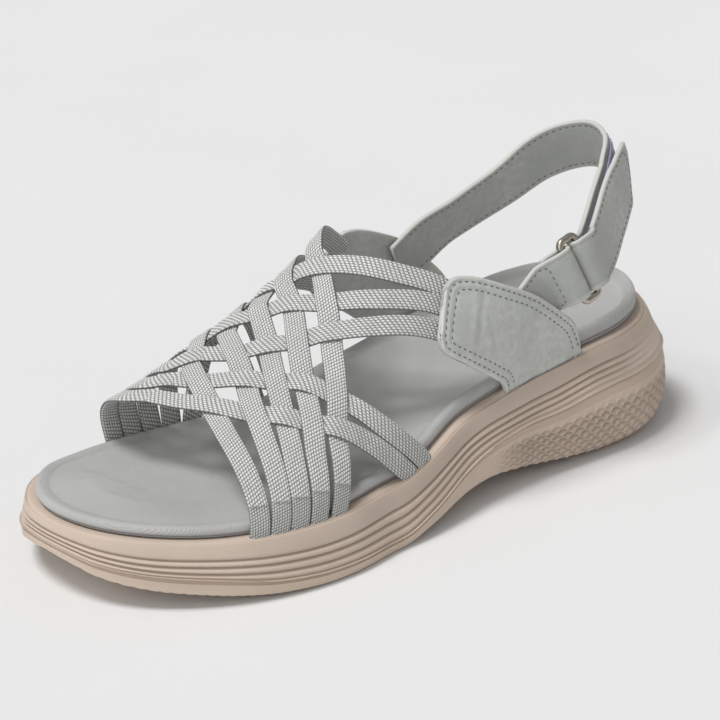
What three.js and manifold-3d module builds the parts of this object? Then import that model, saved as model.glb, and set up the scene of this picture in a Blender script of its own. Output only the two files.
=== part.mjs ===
import * as THREE from 'three';
import { mergeVertices } from 'three/addons/utils/BufferGeometryUtils.js';
import Module from 'manifold-3d';

// A left woven-strap sandal in millimetres: toes to +X, outer side to +Y, up is +Z.

// Driving dimensions of the sole
const footLength = 255;
const ballWidth = 94;
const heelWidth = 68;
const toeSwing = 5.8;
const heelHeight = 40.4;
const waistHeight = 32;
const foreHeight = 20.4;
const toeHeight = 24;
const toeSpring = 14;
const heelRocker = 11;
const archRise = 7.6;
const heelFlare = 8.4;
const foreFlare = 4.2;
const grooveDepth = 0.9;
const grooveShare = 0.022;
const lipShare = 0.03;
const stepShare = 0.055;
const topEdge = 1.4;
const treadDepth = 1.2;
const treadWidth = 2.4;
const treadPitch = 9;

// Driving dimensions of the footbed
const ledge = 3.2;
const rimRoll = 2;
const foreRim = 4.4;
const heelRim = 7.6;
const heelCup = 4.4;
const archPad = 3;

// Driving dimensions of the foot form that the upper is built on
const instepRise = 62;
const toeBox = 21;
const formInset = 2.6;

// Driving dimensions of the upper
const strapWidth = 7.4;
const strapWall = 1.8;
const weaveLift = 0.8;
const weaveLead = 0.06;
const strapSeat = weaveLift / 4;
const leatherWall = 1.8;
const leatherBevel = 0.5;
const tabWidth = 19.4;
const tabFlare = 1.2;
const tabOverlap = 6;
const ringWire = 2.6;
const ringPlay = 0.5;
const ringCorner = 2;
const tapeWall = 0.7;
const seatGap = 0.3;

// Driving dimensions of the heel strap's route round the ankle
const ankleHalf = 33;
const ankleHeight = 98;
const ankleTilt = 17;
const quarterTilt = 5;
const ringPlace = 31.5;
const closureLength = 53;
const closureRise = 2;
const tapeLength = 56;
const tapeWidth = 13;

// Facets
const ringSteps = 60;
const strapSteps = 26;
const heelStrapSteps = 46;
const tabSteps = 12;
const closureSteps = 12;
const tapeSteps = 16;
const foldSteps = 6;
const ringCornerSteps = 4;
const quarterDownSteps = 14;
const quarterAcrossSteps = 5;
const wireSides = 8;

// Turns rows of numbers into rows with named columns
function table(columns, rows) {
  return rows.map((row) => Object.fromEntries(columns.map((name, index) => [name, row[index]])));
}

// A smooth curve through one column of a table that never overshoots its rows
function through(rows, key, column) {
  const x = rows.map((row) => row[key]);
  const y = rows.map((row) => row[column]);
  const steps = x.slice(1).map((value, i) => (y[i + 1] - y[i]) / (value - x[i]));
  const slopes = x.map((_, i) => {
    const before = steps[Math.max(i - 1, 0)];
    const after = steps[Math.min(i, steps.length - 1)];
    return before * after > 0 ? 2 * before * after / (before + after) : 0;
  });
  return (value) => {
    const at = THREE.MathUtils.clamp(value, x[0], x[x.length - 1]);
    const i = Math.max(x.findIndex((right, index) => index > 0 && at <= right), 1) - 1;
    const span = x[i + 1] - x[i];
    const t = (at - x[i]) / span;
    const hold = (1 + 2 * t) * (1 - t) ** 2 * y[i] + t * t * (3 - 2 * t) * y[i + 1];
    return hold + span * (t * (1 - t) ** 2 * slopes[i] + t * t * (t - 1) * slopes[i + 1]);
  };
}

// Outline of the feather line: half widths as shares of the local width, rounded at both ends
const outlineRows = table(['at', 'lateral', 'medial', 'swing'], [
  [0.00, 0.780, 0.800, 0.00],
  [0.05, 0.820, 0.806, 0.00],
  [0.12, 0.770, 0.700, 0.00],
  [0.22, 0.653, 0.565, 0.00],
  [0.35, 0.572, 0.446, 0.00],
  [0.48, 0.488, 0.363, 0.00],
  [0.60, 0.506, 0.400, 0.02],
  [0.70, 0.588, 0.486, 0.14],
  [0.78, 0.645, 0.560, 0.34],
  [0.86, 0.695, 0.638, 0.62],
  [0.93, 0.734, 0.720, 0.84],
  [1.00, 0.790, 0.750, 1.00],
]);
const lateralShare = through(outlineRows, 'at', 'lateral');
const medialShare = through(outlineRows, 'at', 'medial');
const swingShare = through(outlineRows, 'at', 'swing');

// Heights of the feather line and of the underside
const featherRows = table(['at', 'z'], [
  [0.00, heelHeight],
  [0.12, heelHeight * 0.99],
  [0.30, heelHeight * 0.62 + waistHeight * 0.38],
  [0.45, waistHeight],
  [0.60, foreHeight * 1.045],
  [0.72, foreHeight],
  [0.85, foreHeight * 1.027],
  [1.00, toeHeight],
]);
const undersideRows = table(['at', 'z'], [
  [0.00, heelRocker],
  [0.03, heelRocker * 0.4],
  [0.07, heelRocker * 0.09],
  [0.11, 0],
  [0.20, 0],
  [0.25, archRise * 0.18],
  [0.30, archRise * 0.42],
  [0.36, archRise * 0.76],
  [0.42, archRise],
  [0.48, archRise * 0.82],
  [0.55, archRise * 0.36],
  [0.61, 0],
  [0.72, 0],
  [0.80, toeSpring * 0.08],
  [0.85, toeSpring * 0.195],
  [0.89, toeSpring * 0.32],
  [0.94, toeSpring * 0.49],
  [0.98, toeSpring * 0.72],
  [1.00, toeSpring],
]);
const featherHeight = through(featherRows, 'at', 'z');
const undersideHeight = through(undersideRows, 'at', 'z');

// Lines on the side of the sole, as shares of its height from the feather line down
const sideRows = table(['at', 'groove1', 'groove2', 'groove3', 'lip', 'flare', 'depth', 'block'], [
  [0.00, 0.19, 0.25, 0.31, 0.46, heelFlare * 0.78, 0.0, 1.0],
  [0.06, 0.15, 0.20, 0.25, 0.35, heelFlare * 0.8, 0.1, 1.0],
  [0.12, 0.15, 0.20, 0.245, 0.345, heelFlare * 0.86, 0.4, 1.0],
  [0.20, 0.155, 0.205, 0.255, 0.357, heelFlare * 0.78, 1.0, 1.0],
  [0.30, 0.215, 0.279, 0.341, 0.447, heelFlare * 0.6, 1.0, 0.8],
  [0.36, 0.235, 0.305, 0.378, 0.476, heelFlare * 0.52, 1.0, 0.4],
  [0.42, 0.255, 0.346, 0.422, 0.56, foreFlare, 1.0, 0.1],
  [0.48, 0.30, 0.39, 0.487, 0.65, foreFlare, 1.0, 0.0],
  [0.55, 0.326, 0.454, 0.588, 0.767, foreFlare, 1.0, 0.0],
  [0.61, 0.352, 0.505, 0.648, 0.835, foreFlare * 1.05, 1.0, 0.0],
  [0.72, 0.37, 0.497, 0.637, 0.81, foreFlare, 1.0, 0.0],
  [0.80, 0.351, 0.471, 0.603, 0.775, foreFlare * 0.9, 1.0, 0.0],
  [0.89, 0.318, 0.441, 0.564, 0.70, foreFlare * 0.72, 1.0, 0.0],
  [0.95, 0.332, 0.457, 0.565, 0.705, foreFlare * 0.6, 1.0, 0.0],
  [1.00, 0.33, 0.45, 0.56, 0.74, foreFlare * 0.45, 1.0, 0.0],
]);
const side = Object.fromEntries(
  ['groove1', 'groove2', 'groove3', 'lip', 'flare', 'depth', 'block'].map((name) => [
    name,
    through(sideRows, 'at', name),
  ]),
);

// Height of the rolled rim over the feather line, and how far the bed dips inside it
const rimRows = table(['at', 'rim', 'dip'], [
  [0.00, heelRim, heelCup],
  [0.25, heelRim * 0.85, heelCup * 0.8],
  [0.45, foreRim * 1.2, heelCup * 0.45],
  [0.65, foreRim, heelCup * 0.25],
  [1.00, foreRim * 0.9, heelCup * 0.12],
]);
const rimHeight = through(rimRows, 'at', 'rim');
const bedDip = through(rimRows, 'at', 'dip');
const archRows = table(['at', 'rise'], [[0.2, 0], [0.42, archPad], [0.62, 0]]);
const archHeight = through(archRows, 'at', 'rise');

// The point of the feather line at a turn from 0 at the heel round the outer side to 1
function feather(turn) {
  const lateral = turn <= 0.5;
  const along = lateral ? turn * 2 : 2 - turn * 2;
  const at = (1 - Math.cos(Math.PI * along)) / 2;
  const sign = lateral ? 1 : -1;
  return { at, sign, x: (at - 0.5) * footLength, y: sideWidth(at, sign) };
}

// The feather line's distance from the long axis on one side
function sideWidth(at, sign) {
  const local = heelWidth + (ballWidth - heelWidth) * THREE.MathUtils.smoothstep(at, 0.3, 0.6);
  const share = sign > 0 ? lateralShare(at) : medialShare(at);
  const round = 2 * Math.sqrt(at * (1 - at));
  return sign * local * share * round - toeSwing * swingShare(at);
}

// A closed ring that follows the feather line at an offset and a height
function ring(offset, height) {
  const points = [];
  for (let index = 0; index < ringSteps; index += 1) {
    const turn = index / ringSteps;
    const here = feather(turn);
    const before = feather((turn + 0.999) % 1);
    const after = feather((turn + 0.001) % 1);
    const along = new THREE.Vector2(after.x - before.x, after.y - before.y).normalize();
    const reach = offset(here.at, here.sign);
    const x = here.x - along.y * reach;
    const y = here.y + along.x * reach;
    points.push(new THREE.Vector3(x, y, height(here.at, here.sign)));
  }
  return points;
}

// A closed body from rings laid one over the next, capped across the foot at both ends
function stack(rings) {
  const half = ringSteps / 2;
  const faces = [];
  const cap = (base, flip) => {
    const add = (a, b, c) => {
      const turned = flip ? [a, c, b] : [a, b, c];
      faces.push(turned.map((corner) => base + corner));
    };
    add(0, ringSteps - 1, 1);
    for (let k = 1; k < half - 1; k += 1) {
      add(k, ringSteps - k, k + 1);
      add(k + 1, ringSteps - k, ringSteps - k - 1);
    }
    add(half - 1, half + 1, half);
  };
  cap(0, true);
  rings.slice(1).forEach((_, level) => {
    for (let k = 0; k < ringSteps; k += 1) {
      const next = (k + 1) % ringSteps;
      const low = level * ringSteps;
      const high = low + ringSteps;
      faces.push([low + k, high + k, low + next], [low + next, high + k, high + next]);
    }
  });
  cap((rings.length - 1) * ringSteps, false);
  return body(rings.flat(), faces);
}

// A three.js geometry from points and faces
function body(points, faces) {
  const geometry = new THREE.BufferGeometry();
  const places = points.flatMap((point) => [point.x, point.y, point.z]);
  geometry.setAttribute('position', new THREE.Float32BufferAttribute(places, 3));
  geometry.setIndex(faces.flat());
  return geometry;
}

const wasm = await Module();
wasm.setup();

// A geometry as a solid that can be joined and cut
function solid(geometry) {
  const bare = geometry.clone();
  bare.deleteAttribute('normal');
  bare.deleteAttribute('uv');
  const merged = mergeVertices(bare);
  return new wasm.Manifold(new wasm.Mesh({
    numProp: 3,
    vertProperties: new Float32Array(merged.attributes.position.array),
    triVerts: new Uint32Array(merged.index.array),
  }));
}

// A joined or cut solid back as a geometry
function shape(cutSolid) {
  const mesh = cutSolid.getMesh();
  const geometry = new THREE.BufferGeometry();
  geometry.setAttribute('position', new THREE.Float32BufferAttribute(mesh.vertProperties, mesh.numProp));
  geometry.setIndex(Array.from(mesh.triVerts));
  return geometry;
}

// Height on the sole's side at a share from the feather line down to the underside
function sideHeight(at, share) {
  return featherHeight(at) + (undersideHeight(at) - featherHeight(at)) * share;
}

// Midsole: smooth band, three grooves with two ribs between them, a step and the lip
function midsole() {
  const level = (share, flareShare, inward = 0) => ring(
    (at) => side.flare(at) * flareShare - grooveDepth * side.depth(at) * inward,
    (at) => sideHeight(at, share(at)),
  );
  const groove = (name, before, after) => [
    level((at) => side[name](at) + grooveShare, after),
    level((at) => side[name](at), (before + after) / 2, 1),
    level((at) => side[name](at) - grooveShare, before),
  ];
  return stack([
    ring((at) => side.flare(at) * 0.9 - topEdge * 0.6, (at) => partingHeight(at) + seatGap),
    level((at) => side.lip(at) - lipShare * 0.3, 0.96),
    level((at) => side.lip(at) - lipShare * 1.2, 0.97),
    level((at) => side.lip(at) - stepShare, 0.88, 0.6),
    ...groove('groove3', 0.74, 0.84),
    ...groove('groove2', 0.62, 0.7),
    ...groove('groove1', 0.48, 0.58),
    level((at) => side.groove1(at) * 0.45, 0.36),
    ring(() => -topEdge * 0.07, (at) => featherHeight(at) - topEdge * 0.86),
    ring(() => -topEdge * 0.5, (at) => featherHeight(at) - topEdge * 0.21),
    ring(() => -topEdge, featherHeight),
  ]);
}

// Height of the joint between midsole and outsole
function partingHeight(at) {
  return sideHeight(at, side.lip(at));
}

// Outsole: a thin layer at the front that swells into the heel block, with grooves across
function outsole() {
  const level = (share, frontFlare, blockFlare) => ring(
    (at) => side.flare(at) * THREE.MathUtils.lerp(frontFlare, blockFlare, side.block(at)),
    (at) => THREE.MathUtils.lerp(partingHeight(at), undersideHeight(at), share),
  );
  const whole = stack([
    ring((at) => side.flare(at) * 0.2 - treadDepth * 2, undersideHeight),
    level(0.94, 0.7, 0.6),
    level(0.8, 0.86, 1.04),
    level(0.55, 0.88, 1.24),
    level(0.28, 0.92, 1.17),
    level(0.06, 0.92, 1),
    ring((at) => side.flare(at) * 0.86 - seatGap, partingHeight),
  ]);
  return shape(treadCuts().reduce((kept, cut) => kept.subtract(cut), solid(whole)));
}

// Shallow grooves across the underside at the ball and the heel
function treadCuts() {
  const cuts = [];
  const zones = table(['from', 'to'], [[0.05, 0.3], [0.56, 0.95]]);
  zones.forEach((zone) => {
    const count = Math.floor((zone.to - zone.from) * footLength / treadPitch);
    for (let index = 0; index <= count; index += 1) {
      const at = zone.from + index * treadPitch / footLength;
      const slope = (undersideHeight(at + 0.01) - undersideHeight(at - 0.01)) / (0.02 * footLength);
      const cutter = new THREE.BoxGeometry(treadWidth, ballWidth * 2, treadDepth * 2);
      cutter.rotateY(-Math.atan(slope));
      cutter.translate((at - 0.5) * footLength, 0, undersideHeight(at));
      cuts.push(solid(cutter));
    }
  });
  return cuts;
}

// Rings of the footbed: inward as a share of the rim's roll, then shares of rim, dip and arch pad
const bedRows = table(['inward', 'rim', 'dip', 'arch'], [
  [0.7, 0.00, 0.00, 0.0],
  [0.1, 0.12, 0.00, 0.0],
  [0.0, 0.55, 0.00, 0.0],
  [0.3, 0.88, 0.00, 0.0],
  [1.0, 1.00, 0.00, 0.0],
  [1.8, 1.00, 0.35, 0.0],
  [3.0, 1.00, 0.80, 0.5],
  [5.5, 1.00, 1.00, 1.0],
  [9.5, 1.00, 1.15, 0.7],
]);

// Footbed: rolled rim round a bed that is cupped at the heel and raised under the arch
function footbed() {
  return stack(bedRows.map((row) => ring(
    () => -ledge - rimRoll * row.inward,
    (at, sign) => {
      const arch = sign < 0 ? archHeight(at) * row.arch : 0;
      const rise = rimHeight(at) * row.rim - bedDip(at) * row.dip + arch;
      return featherHeight(at) + Math.max(rise, seatGap);
    },
  )));
}

// Sections of the foot form: height over the feather line, crown place and fullness of each side
const formRows = table(['at', 'rise', 'crown', 'lateral', 'medial'], [
  [0.05, instepRise * 1.75, 0.00, 2.4, 2.4],
  [0.20, instepRise * 1.70, -0.01, 2.2, 2.2],
  [0.30, instepRise * 1.58, -0.02, 2.0, 2.2],
  [0.40, instepRise * 1.26, -0.05, 2.0, 2.2],
  [0.50, instepRise, -0.10, 2.0, 2.3],
  [0.60, instepRise * 0.79, -0.14, 2.0, 2.4],
  [0.70, instepRise * 0.6, -0.17, 2.1, 2.4],
  [0.80, toeBox * 1.29, -0.17, 2.2, 2.3],
  [0.90, toeBox, -0.16, 2.3, 2.3],
]);
const form = Object.fromEntries(['rise', 'crown', 'lateral', 'medial'].map((name) => [
  name,
  through(formRows, 'at', name),
]));

// A point of the foot form: round runs from 0 at the outer feather line over the crown to 1
function formPoint(at, round) {
  const angle = Math.PI * round;
  const sign = Math.cos(angle) >= 0 ? 1 : -1;
  const power = 2 / (sign > 0 ? form.lateral(at) : form.medial(at));
  const crown = form.crown(at) * ballWidth;
  const reach = Math.abs(sideWidth(at, sign) - sign * formInset - crown);
  const lift = Math.sign(Math.sin(angle)) * Math.abs(Math.sin(angle)) ** power;
  return new THREE.Vector3(
    (at - 0.5) * footLength,
    crown + sign * reach * Math.abs(Math.cos(angle)) ** power,
    featherHeight(at) + form.rise(at) * lift,
  );
}

// The form's outward direction at a point
function formNormal(at, round) {
  const step = 0.004;
  const forward = formPoint(at + step, round).sub(formPoint(at - step, round));
  const around = formPoint(at, round + step).sub(formPoint(at, round - step));
  return around.cross(forward).normalize();
}

// A closed band swept along stations, each with its place, outward direction, width and wall
function band(stations, bevel = 0) {
  const points = [];
  stations.forEach((station, index) => {
    const before = stations[Math.max(index - 1, 0)].place;
    const after = stations[Math.min(index + 1, stations.length - 1)].place;
    const along = after.clone().sub(before).normalize();
    const across = new THREE.Vector3().crossVectors(station.out, along).normalize();
    const out = new THREE.Vector3().crossVectors(along, across).normalize();
    const half = station.width / 2;
    const wall = station.wall / 2;
    const section = [
      [-half + bevel, wall],
      [half - bevel, wall],
      [half - bevel, -wall],
      [-half + bevel, -wall],
    ];
    if (bevel > 0) {
      section.splice(2, 0, [half, 0]);
      section.unshift([-half, 0]);
    }
    section.forEach(([u, v]) => {
      const aside = u + (station.shift ?? 0);
      points.push(station.place.clone().addScaledVector(across, aside).addScaledVector(out, v));
    });
  });
  return body(points, tubeFaces(stations.length, points.length / stations.length));
}

// Faces of a tube of equal sections, closed at both ends
function tubeFaces(count, corners) {
  const faces = [];
  for (let k = 1; k < corners - 1; k += 1) {
    const last = (count - 1) * corners;
    faces.push([0, k, k + 1], [last, last + k + 1, last + k]);
  }
  for (let index = 0; index < count - 1; index += 1) {
    for (let k = 0; k < corners; k += 1) {
      const low = index * corners;
      const next = (k + 1) % corners;
      faces.push([low + k, low + corners + k, low + next]);
      faces.push([low + next, low + corners + k, low + corners + next]);
    }
  }
  return faces;
}

// Woven straps: share along the foot at each round place, and the stretch that the strap covers
const roundPlaces = [0, 0.15, 0.3, 0.45, 0.6, 0.75, 1];
const strapRows = table(['name', 'weave', 'from', 'to', 'shares'], [
  ['a1', 1, -0.03, 1.03, [0.818, 0.809, 0.792, 0.755, 0.692, 0.637, 0.575]],
  ['a2', 2, -0.03, 1.03, [0.792, 0.776, 0.748, 0.694, 0.640, 0.595, 0.543]],
  ['a3', 3, -0.03, 0.86, [0.765, 0.748, 0.709, 0.647, 0.585, 0.530, 0.380]],
  ['a4', 4, -0.03, 0.83, [0.737, 0.716, 0.668, 0.602, 0.555, 0.508, 0.365]],
  ['a5', 5, -0.03, 0.81, [0.705, 0.677, 0.616, 0.554, 0.512, 0.470, 0.345]],
  ['b1', 1, -0.03, 1.03, [0.572, 0.650, 0.732, 0.788, 0.815, 0.808, 0.785]],
  ['b2', 2, -0.03, 1.03, [0.543, 0.612, 0.668, 0.742, 0.782, 0.779, 0.757]],
  ['b3', 3, 0.14, 1.03, [0.370, 0.467, 0.563, 0.686, 0.745, 0.748, 0.729]],
  ['b4', 4, 0.17, 1.03, [0.360, 0.438, 0.524, 0.600, 0.685, 0.712, 0.701]],
  ['b5', 5, 0.19, 1.03, [0.340, 0.418, 0.492, 0.541, 0.600, 0.652, 0.673]],
]);

// Straps with their route, the share along the foot at a round place
const straps = strapRows.map((row) => {
  const rows = roundPlaces.map((round, index) => ({ round, at: row.shares[index] }));
  return { ...row, route: through(rows, 'round', 'at'), set: row.name[0] };
});

// The round place where two straps cross
function crossing(one, other) {
  let low = 0;
  let high = 1;
  const start = Math.sign(one.route(0) - other.route(0));
  for (let step = 0; step < 30; step += 1) {
    const middle = (low + high) / 2;
    if (Math.sign(one.route(middle) - other.route(middle)) === start) low = middle;
    else high = middle;
  }
  return (low + high) / 2;
}

// How far a strap rises or dips along its route as it goes over and under the other set
function weaveCurve(strap) {
  const others = straps.filter((other) => other.set !== strap.set);
  const knots = others.map((other) => {
    const firstOver = (strap.weave + other.weave) % 2 === 0 ? 'b' : 'a';
    return { round: crossing(strap, other), lift: strap.set === firstOver ? weaveLift : -weaveLift };
  });
  knots.sort((one, other) => one.round - other.round);
  const rows = [
    { round: knots[0].round - weaveLead, lift: 0 },
    ...knots,
    { round: knots[knots.length - 1].round + weaveLead, lift: 0 },
  ];
  return through(rows, 'round', 'lift');
}

// One woven strap on the form
function wovenStrap(strap) {
  const lift = weaveCurve(strap);
  const stations = [];
  for (let index = 0; index <= strapSteps; index += 1) {
    const round = THREE.MathUtils.lerp(strap.from, strap.to, index / strapSteps);
    const at = strap.route(round);
    const out = formNormal(at, round);
    const place = formPoint(at, round).addScaledVector(out, strapWall / 2 + strapSeat + lift(round));
    stations.push({ place, out, width: strapWidth, wall: strapWall });
  }
  return band(stations);
}

// Everything up to the seat gap over the sole's top, to trim what stands on it
function soleClearance() {
  const beyond = ballWidth * 0.3;
  return solid(stack([
    ring(() => beyond, () => -heelHeight),
    ring(() => beyond, (at) => featherHeight(at) + seatGap),
    ring(() => -topEdge, (at) => featherHeight(at) + seatGap),
  ]));
}

// Woven upper: ten straps joined where they cross, trimmed level with the sole
function wovenUpper() {
  const joined = straps.map((strap) => solid(wovenStrap(strap))).reduce((all, strap) => all.add(strap));
  return shape(joined.subtract(soleClearance()));
}

// Edges of the leather quarter from its front edge down to the sole
const quarterRows = table(['down', 'lowAt', 'lowRound', 'topAt', 'topRound'], [
  [0.00, 0.495, 0.157, 0.450, 0.229],
  [0.15, 0.481, 0.126, 0.418, 0.199],
  [0.40, 0.447, 0.080, 0.354, 0.130],
  [0.70, 0.405, 0.036, 0.275, 0.063],
  [0.90, 0.378, 0.008, 0.232, 0.020],
  [1.00, 0.368, -0.030, 0.217, -0.030],
]);
const quarter = Object.fromEntries(['lowAt', 'lowRound', 'topAt', 'topRound'].map((name) => [
  name,
  through(quarterRows, 'down', name),
]));
const quarterLift = strapWall + strapSeat + seatGap * 2.5;
const quarterCorner = 0.12;
const quarterSeat = { from: 0.72, to: 0.95 };

// A leather quarter: a curved panel over the strap ends that comes down to the sole
function quarterPanel(sign) {
  const points = [[], []];
  for (let i = 0; i <= quarterDownSteps; i += 1) {
    const down = i / quarterDownSteps;
    const inset = quarterCorner * Math.max(0, 1 - down / quarterCorner) ** 2;
    for (let j = 0; j <= quarterAcrossSteps; j += 1) {
      const share = THREE.MathUtils.lerp(inset, 1 - inset, j / quarterAcrossSteps);
      const at = THREE.MathUtils.lerp(quarter.lowAt(down), quarter.topAt(down), share);
      const outer = THREE.MathUtils.lerp(quarter.lowRound(down), quarter.topRound(down), share);
      const round = sign > 0 ? outer : 1 - outer;
      const seated = THREE.MathUtils.smoothstep(down, quarterSeat.from, quarterSeat.to);
      const lift = THREE.MathUtils.lerp(quarterLift, seatGap, seated);
      const out = formNormal(at, round);
      points[0].push(formPoint(at, round).addScaledVector(out, lift));
      points[1].push(formPoint(at, round).addScaledVector(out, lift + leatherWall));
    }
  }
  const panel = solid(sheet(points, quarterDownSteps, quarterAcrossSteps, sign > 0));
  return shape(panel.subtract(soleClearance()));
}

// A closed sheet between an inner and an outer grid of points
function sheet([inner, outer], rows, columns, flip) {
  const faces = [];
  const wide = columns + 1;
  const lift = inner.length;
  const quad = (a, b, c, d) => {
    if (flip) faces.push([a, c, b], [a, d, c]);
    else faces.push([a, b, c], [a, c, d]);
  };
  for (let i = 0; i < rows; i += 1) {
    for (let j = 0; j < columns; j += 1) {
      const a = i * wide + j;
      quad(a, a + wide, a + wide + 1, a + 1);
      quad(lift + a, lift + a + 1, lift + a + wide + 1, lift + a + wide);
    }
    const left = i * wide;
    const right = left + columns;
    quad(left, lift + left, lift + left + wide, left + wide);
    quad(right, right + wide, lift + right + wide, lift + right);
  }
  for (let j = 0; j < columns; j += 1) {
    const last = rows * wide + j;
    quad(j, j + 1, lift + j + 1, lift + j);
    quad(last, lift + last, lift + last + 1, last + 1);
  }
  return body([...inner, ...outer], faces);
}

// The heel strap's route on the foot, from under the outer quarter round to the inner one
const ankleRows = table(['at', 'aside', 'up'], [
  [0.231, 1.060, 0.726],
  [0.192, 0.925, 0.745],
  [0.158, 0.793, 0.818],
  [0.108, 0.567, 0.923],
  [0.080, 0.354, 0.984],
  [0.069, 0.064, 1.000],
  [0.080, -0.210, 0.980],
  [0.104, -0.470, 0.928],
  [0.147, -0.670, 0.836],
  [0.206, -0.790, 0.763],
]);
const anklePath = new THREE.CatmullRomCurve3([
  formPoint(0.342, 0.063),
  formPoint(0.286, 0.090),
  ...ankleRows.map((row) => new THREE.Vector3(
    (row.at - 0.5) * footLength,
    row.aside * ankleHalf,
    row.up * ankleHeight,
  )),
  formPoint(0.284, 0.914),
  formPoint(0.343, 0.925),
], false, 'centripetal');
anklePath.arcLengthDivisions = 600;
const ankleRun = anklePath.getLength();

// Place, direction and outward direction of the route at a distance from its outer end
function ankleFrame(distance) {
  const share = THREE.MathUtils.clamp(distance / ankleRun, 0, 1);
  const place = anklePath.getPointAt(share);
  const along = anklePath.getTangentAt(share);
  const flat = new THREE.Vector3().crossVectors(along, new THREE.Vector3(0, 0, 1)).normalize();
  const ends = Math.min(distance, ankleRun - distance);
  const free = THREE.MathUtils.smoothstep(ends, ringPlace * 0.4, ringPlace);
  const tilt = THREE.MathUtils.degToRad(THREE.MathUtils.lerp(quarterTilt, ankleTilt, free));
  const out = flat.clone().applyAxisAngle(along, -tilt);
  return { place, along, out };
}

// The same, but straight along the ring's own direction close to the ring
function strapFrame(distance) {
  const beyond = distance - ringPlace;
  if (Math.abs(beyond) > barOffset + foldRadius) return ankleFrame(distance);
  const frame = ankleFrame(ringPlace);
  frame.place.addScaledVector(frame.along, beyond);
  return frame;
}

// Stations of a strap from its route of distances and lifts over the foot
function ankleStations(route, wall, width) {
  return route.map(({ distance, lift }, index) => {
    const before = route[Math.max(index - 1, 0)];
    const after = route[Math.min(index + 1, route.length - 1)];
    const heading = new THREE.Vector2(after.distance - before.distance, after.lift - before.lift).normalize();
    const frame = strapFrame(distance);
    const place = frame.place.clone().addScaledVector(frame.out, lift);
    const out = frame.along.clone().multiplyScalar(-heading.y).addScaledVector(frame.out, heading.x);
    return { place, out, wall, ...width(index / (route.length - 1), distance) };
  });
}

// The two folds round the ring's bars
const skinLift = leatherWall / 2;
const foldRadius = ringWire / 2 + seatGap + leatherWall / 2;
const barOffset = foldRadius + leatherWall / 2 + ringPlay / 2;
const ringLift = skinLift + foldRadius;

// A half turn round a bar: from one side of the strap to the other
function fold(bar, turn) {
  return Array.from({ length: foldSteps + 1 }, (_, index) => {
    const angle = Math.PI * index / foldSteps;
    return {
      distance: bar + turn * Math.sin(angle) * foldRadius,
      lift: ringLift + turn * Math.cos(angle) * foldRadius,
    };
  });
}

// Steps along a route between two distances, lifted by a curve
function stretch(from, to, steps, lift) {
  return Array.from({ length: steps }, (_, index) => {
    const distance = THREE.MathUtils.lerp(from, to, (index + 0.5) / steps);
    return { distance, lift: lift(distance) };
  });
}

// Ring tab: from under the outer quarter, round the front bar and back beneath itself
function ringTab() {
  const bar = ringPlace - barOffset;
  const innerEnd = bar - tabOverlap;
  const rows = table(['distance', 'lift'], [
    [0, skinLift],
    [innerEnd - leatherWall * 2, skinLift],
    [innerEnd - seatGap, skinLift + leatherWall + seatGap * 1.4],
    [bar - ringWire, skinLift + foldRadius * 2],
    [bar, skinLift + foldRadius * 2],
  ]);
  const route = [
    ...stretch(leatherWall, bar, tabSteps, through(rows, 'distance', 'lift')),
    ...fold(bar, 1),
    ...stretch(bar, innerEnd, 3, () => skinLift),
  ];
  const width = (share, distance) => {
    const slim = THREE.MathUtils.smoothstep(distance, ringPlace * 0.15, ringPlace * 0.7);
    return { width: tabWidth * THREE.MathUtils.lerp(tabFlare, 1, slim) };
  };
  return band(ankleStations(route, leatherWall, width), leatherBevel);
}

// Heel strap: from under the inner quarter round the heel, through the ring and folded back
function heelStrap() {
  const bar = ringPlace + barOffset;
  const tip = ringPlace + closureLength;
  const clear = skinLift + leatherWall + tapeWall + seatGap * 4;
  const rows = table(['distance', 'lift'], [
    [bar, skinLift + foldRadius * 2],
    [bar + ringWire, skinLift + foldRadius * 2],
    [bar + closureLength * 0.25, clear + closureRise * 0.35],
    [bar + closureLength * 0.55, clear + closureRise * 0.35],
    [tip, clear + closureRise],
  ]);
  const under = stretch(ankleRun - leatherWall, bar, heelStrapSteps, () => skinLift);
  const closure = stretch(bar, tip, closureSteps, through(rows, 'distance', 'lift'));
  const route = [...under, ...fold(bar, -1), ...closure];
  const firstClosure = under.length + foldSteps + 1;
  const tipRows = table(['share', 'width', 'shift'], [
    [0.0, 1.00, 0.00],
    [0.72, 1.08, 0.00],
    [0.86, 0.80, 0.10],
    [1.00, 0.32, 0.24],
  ]);
  const tipWidth = through(tipRows, 'share', 'width');
  const tipShift = through(tipRows, 'share', 'shift');
  const width = (share) => {
    const place = Math.max(0, share * (route.length - 1) - firstClosure) / (closure.length - 1);
    return { width: tabWidth * tipWidth(place), shift: tabWidth * tipShift(place) };
  };
  return band(ankleStations(route, leatherWall, width), leatherBevel);
}

// Loop tape on the outer face of the heel strap, beneath the folded tab
function loopTape() {
  const lift = skinLift + leatherWall / 2 + seatGap + tapeWall / 2;
  const from = ringPlace + barOffset + foldRadius;
  const route = stretch(from, from + tapeLength, tapeSteps, () => lift);
  return band(ankleStations(route, tapeWall, () => ({ width: tapeWidth })));
}

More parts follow.
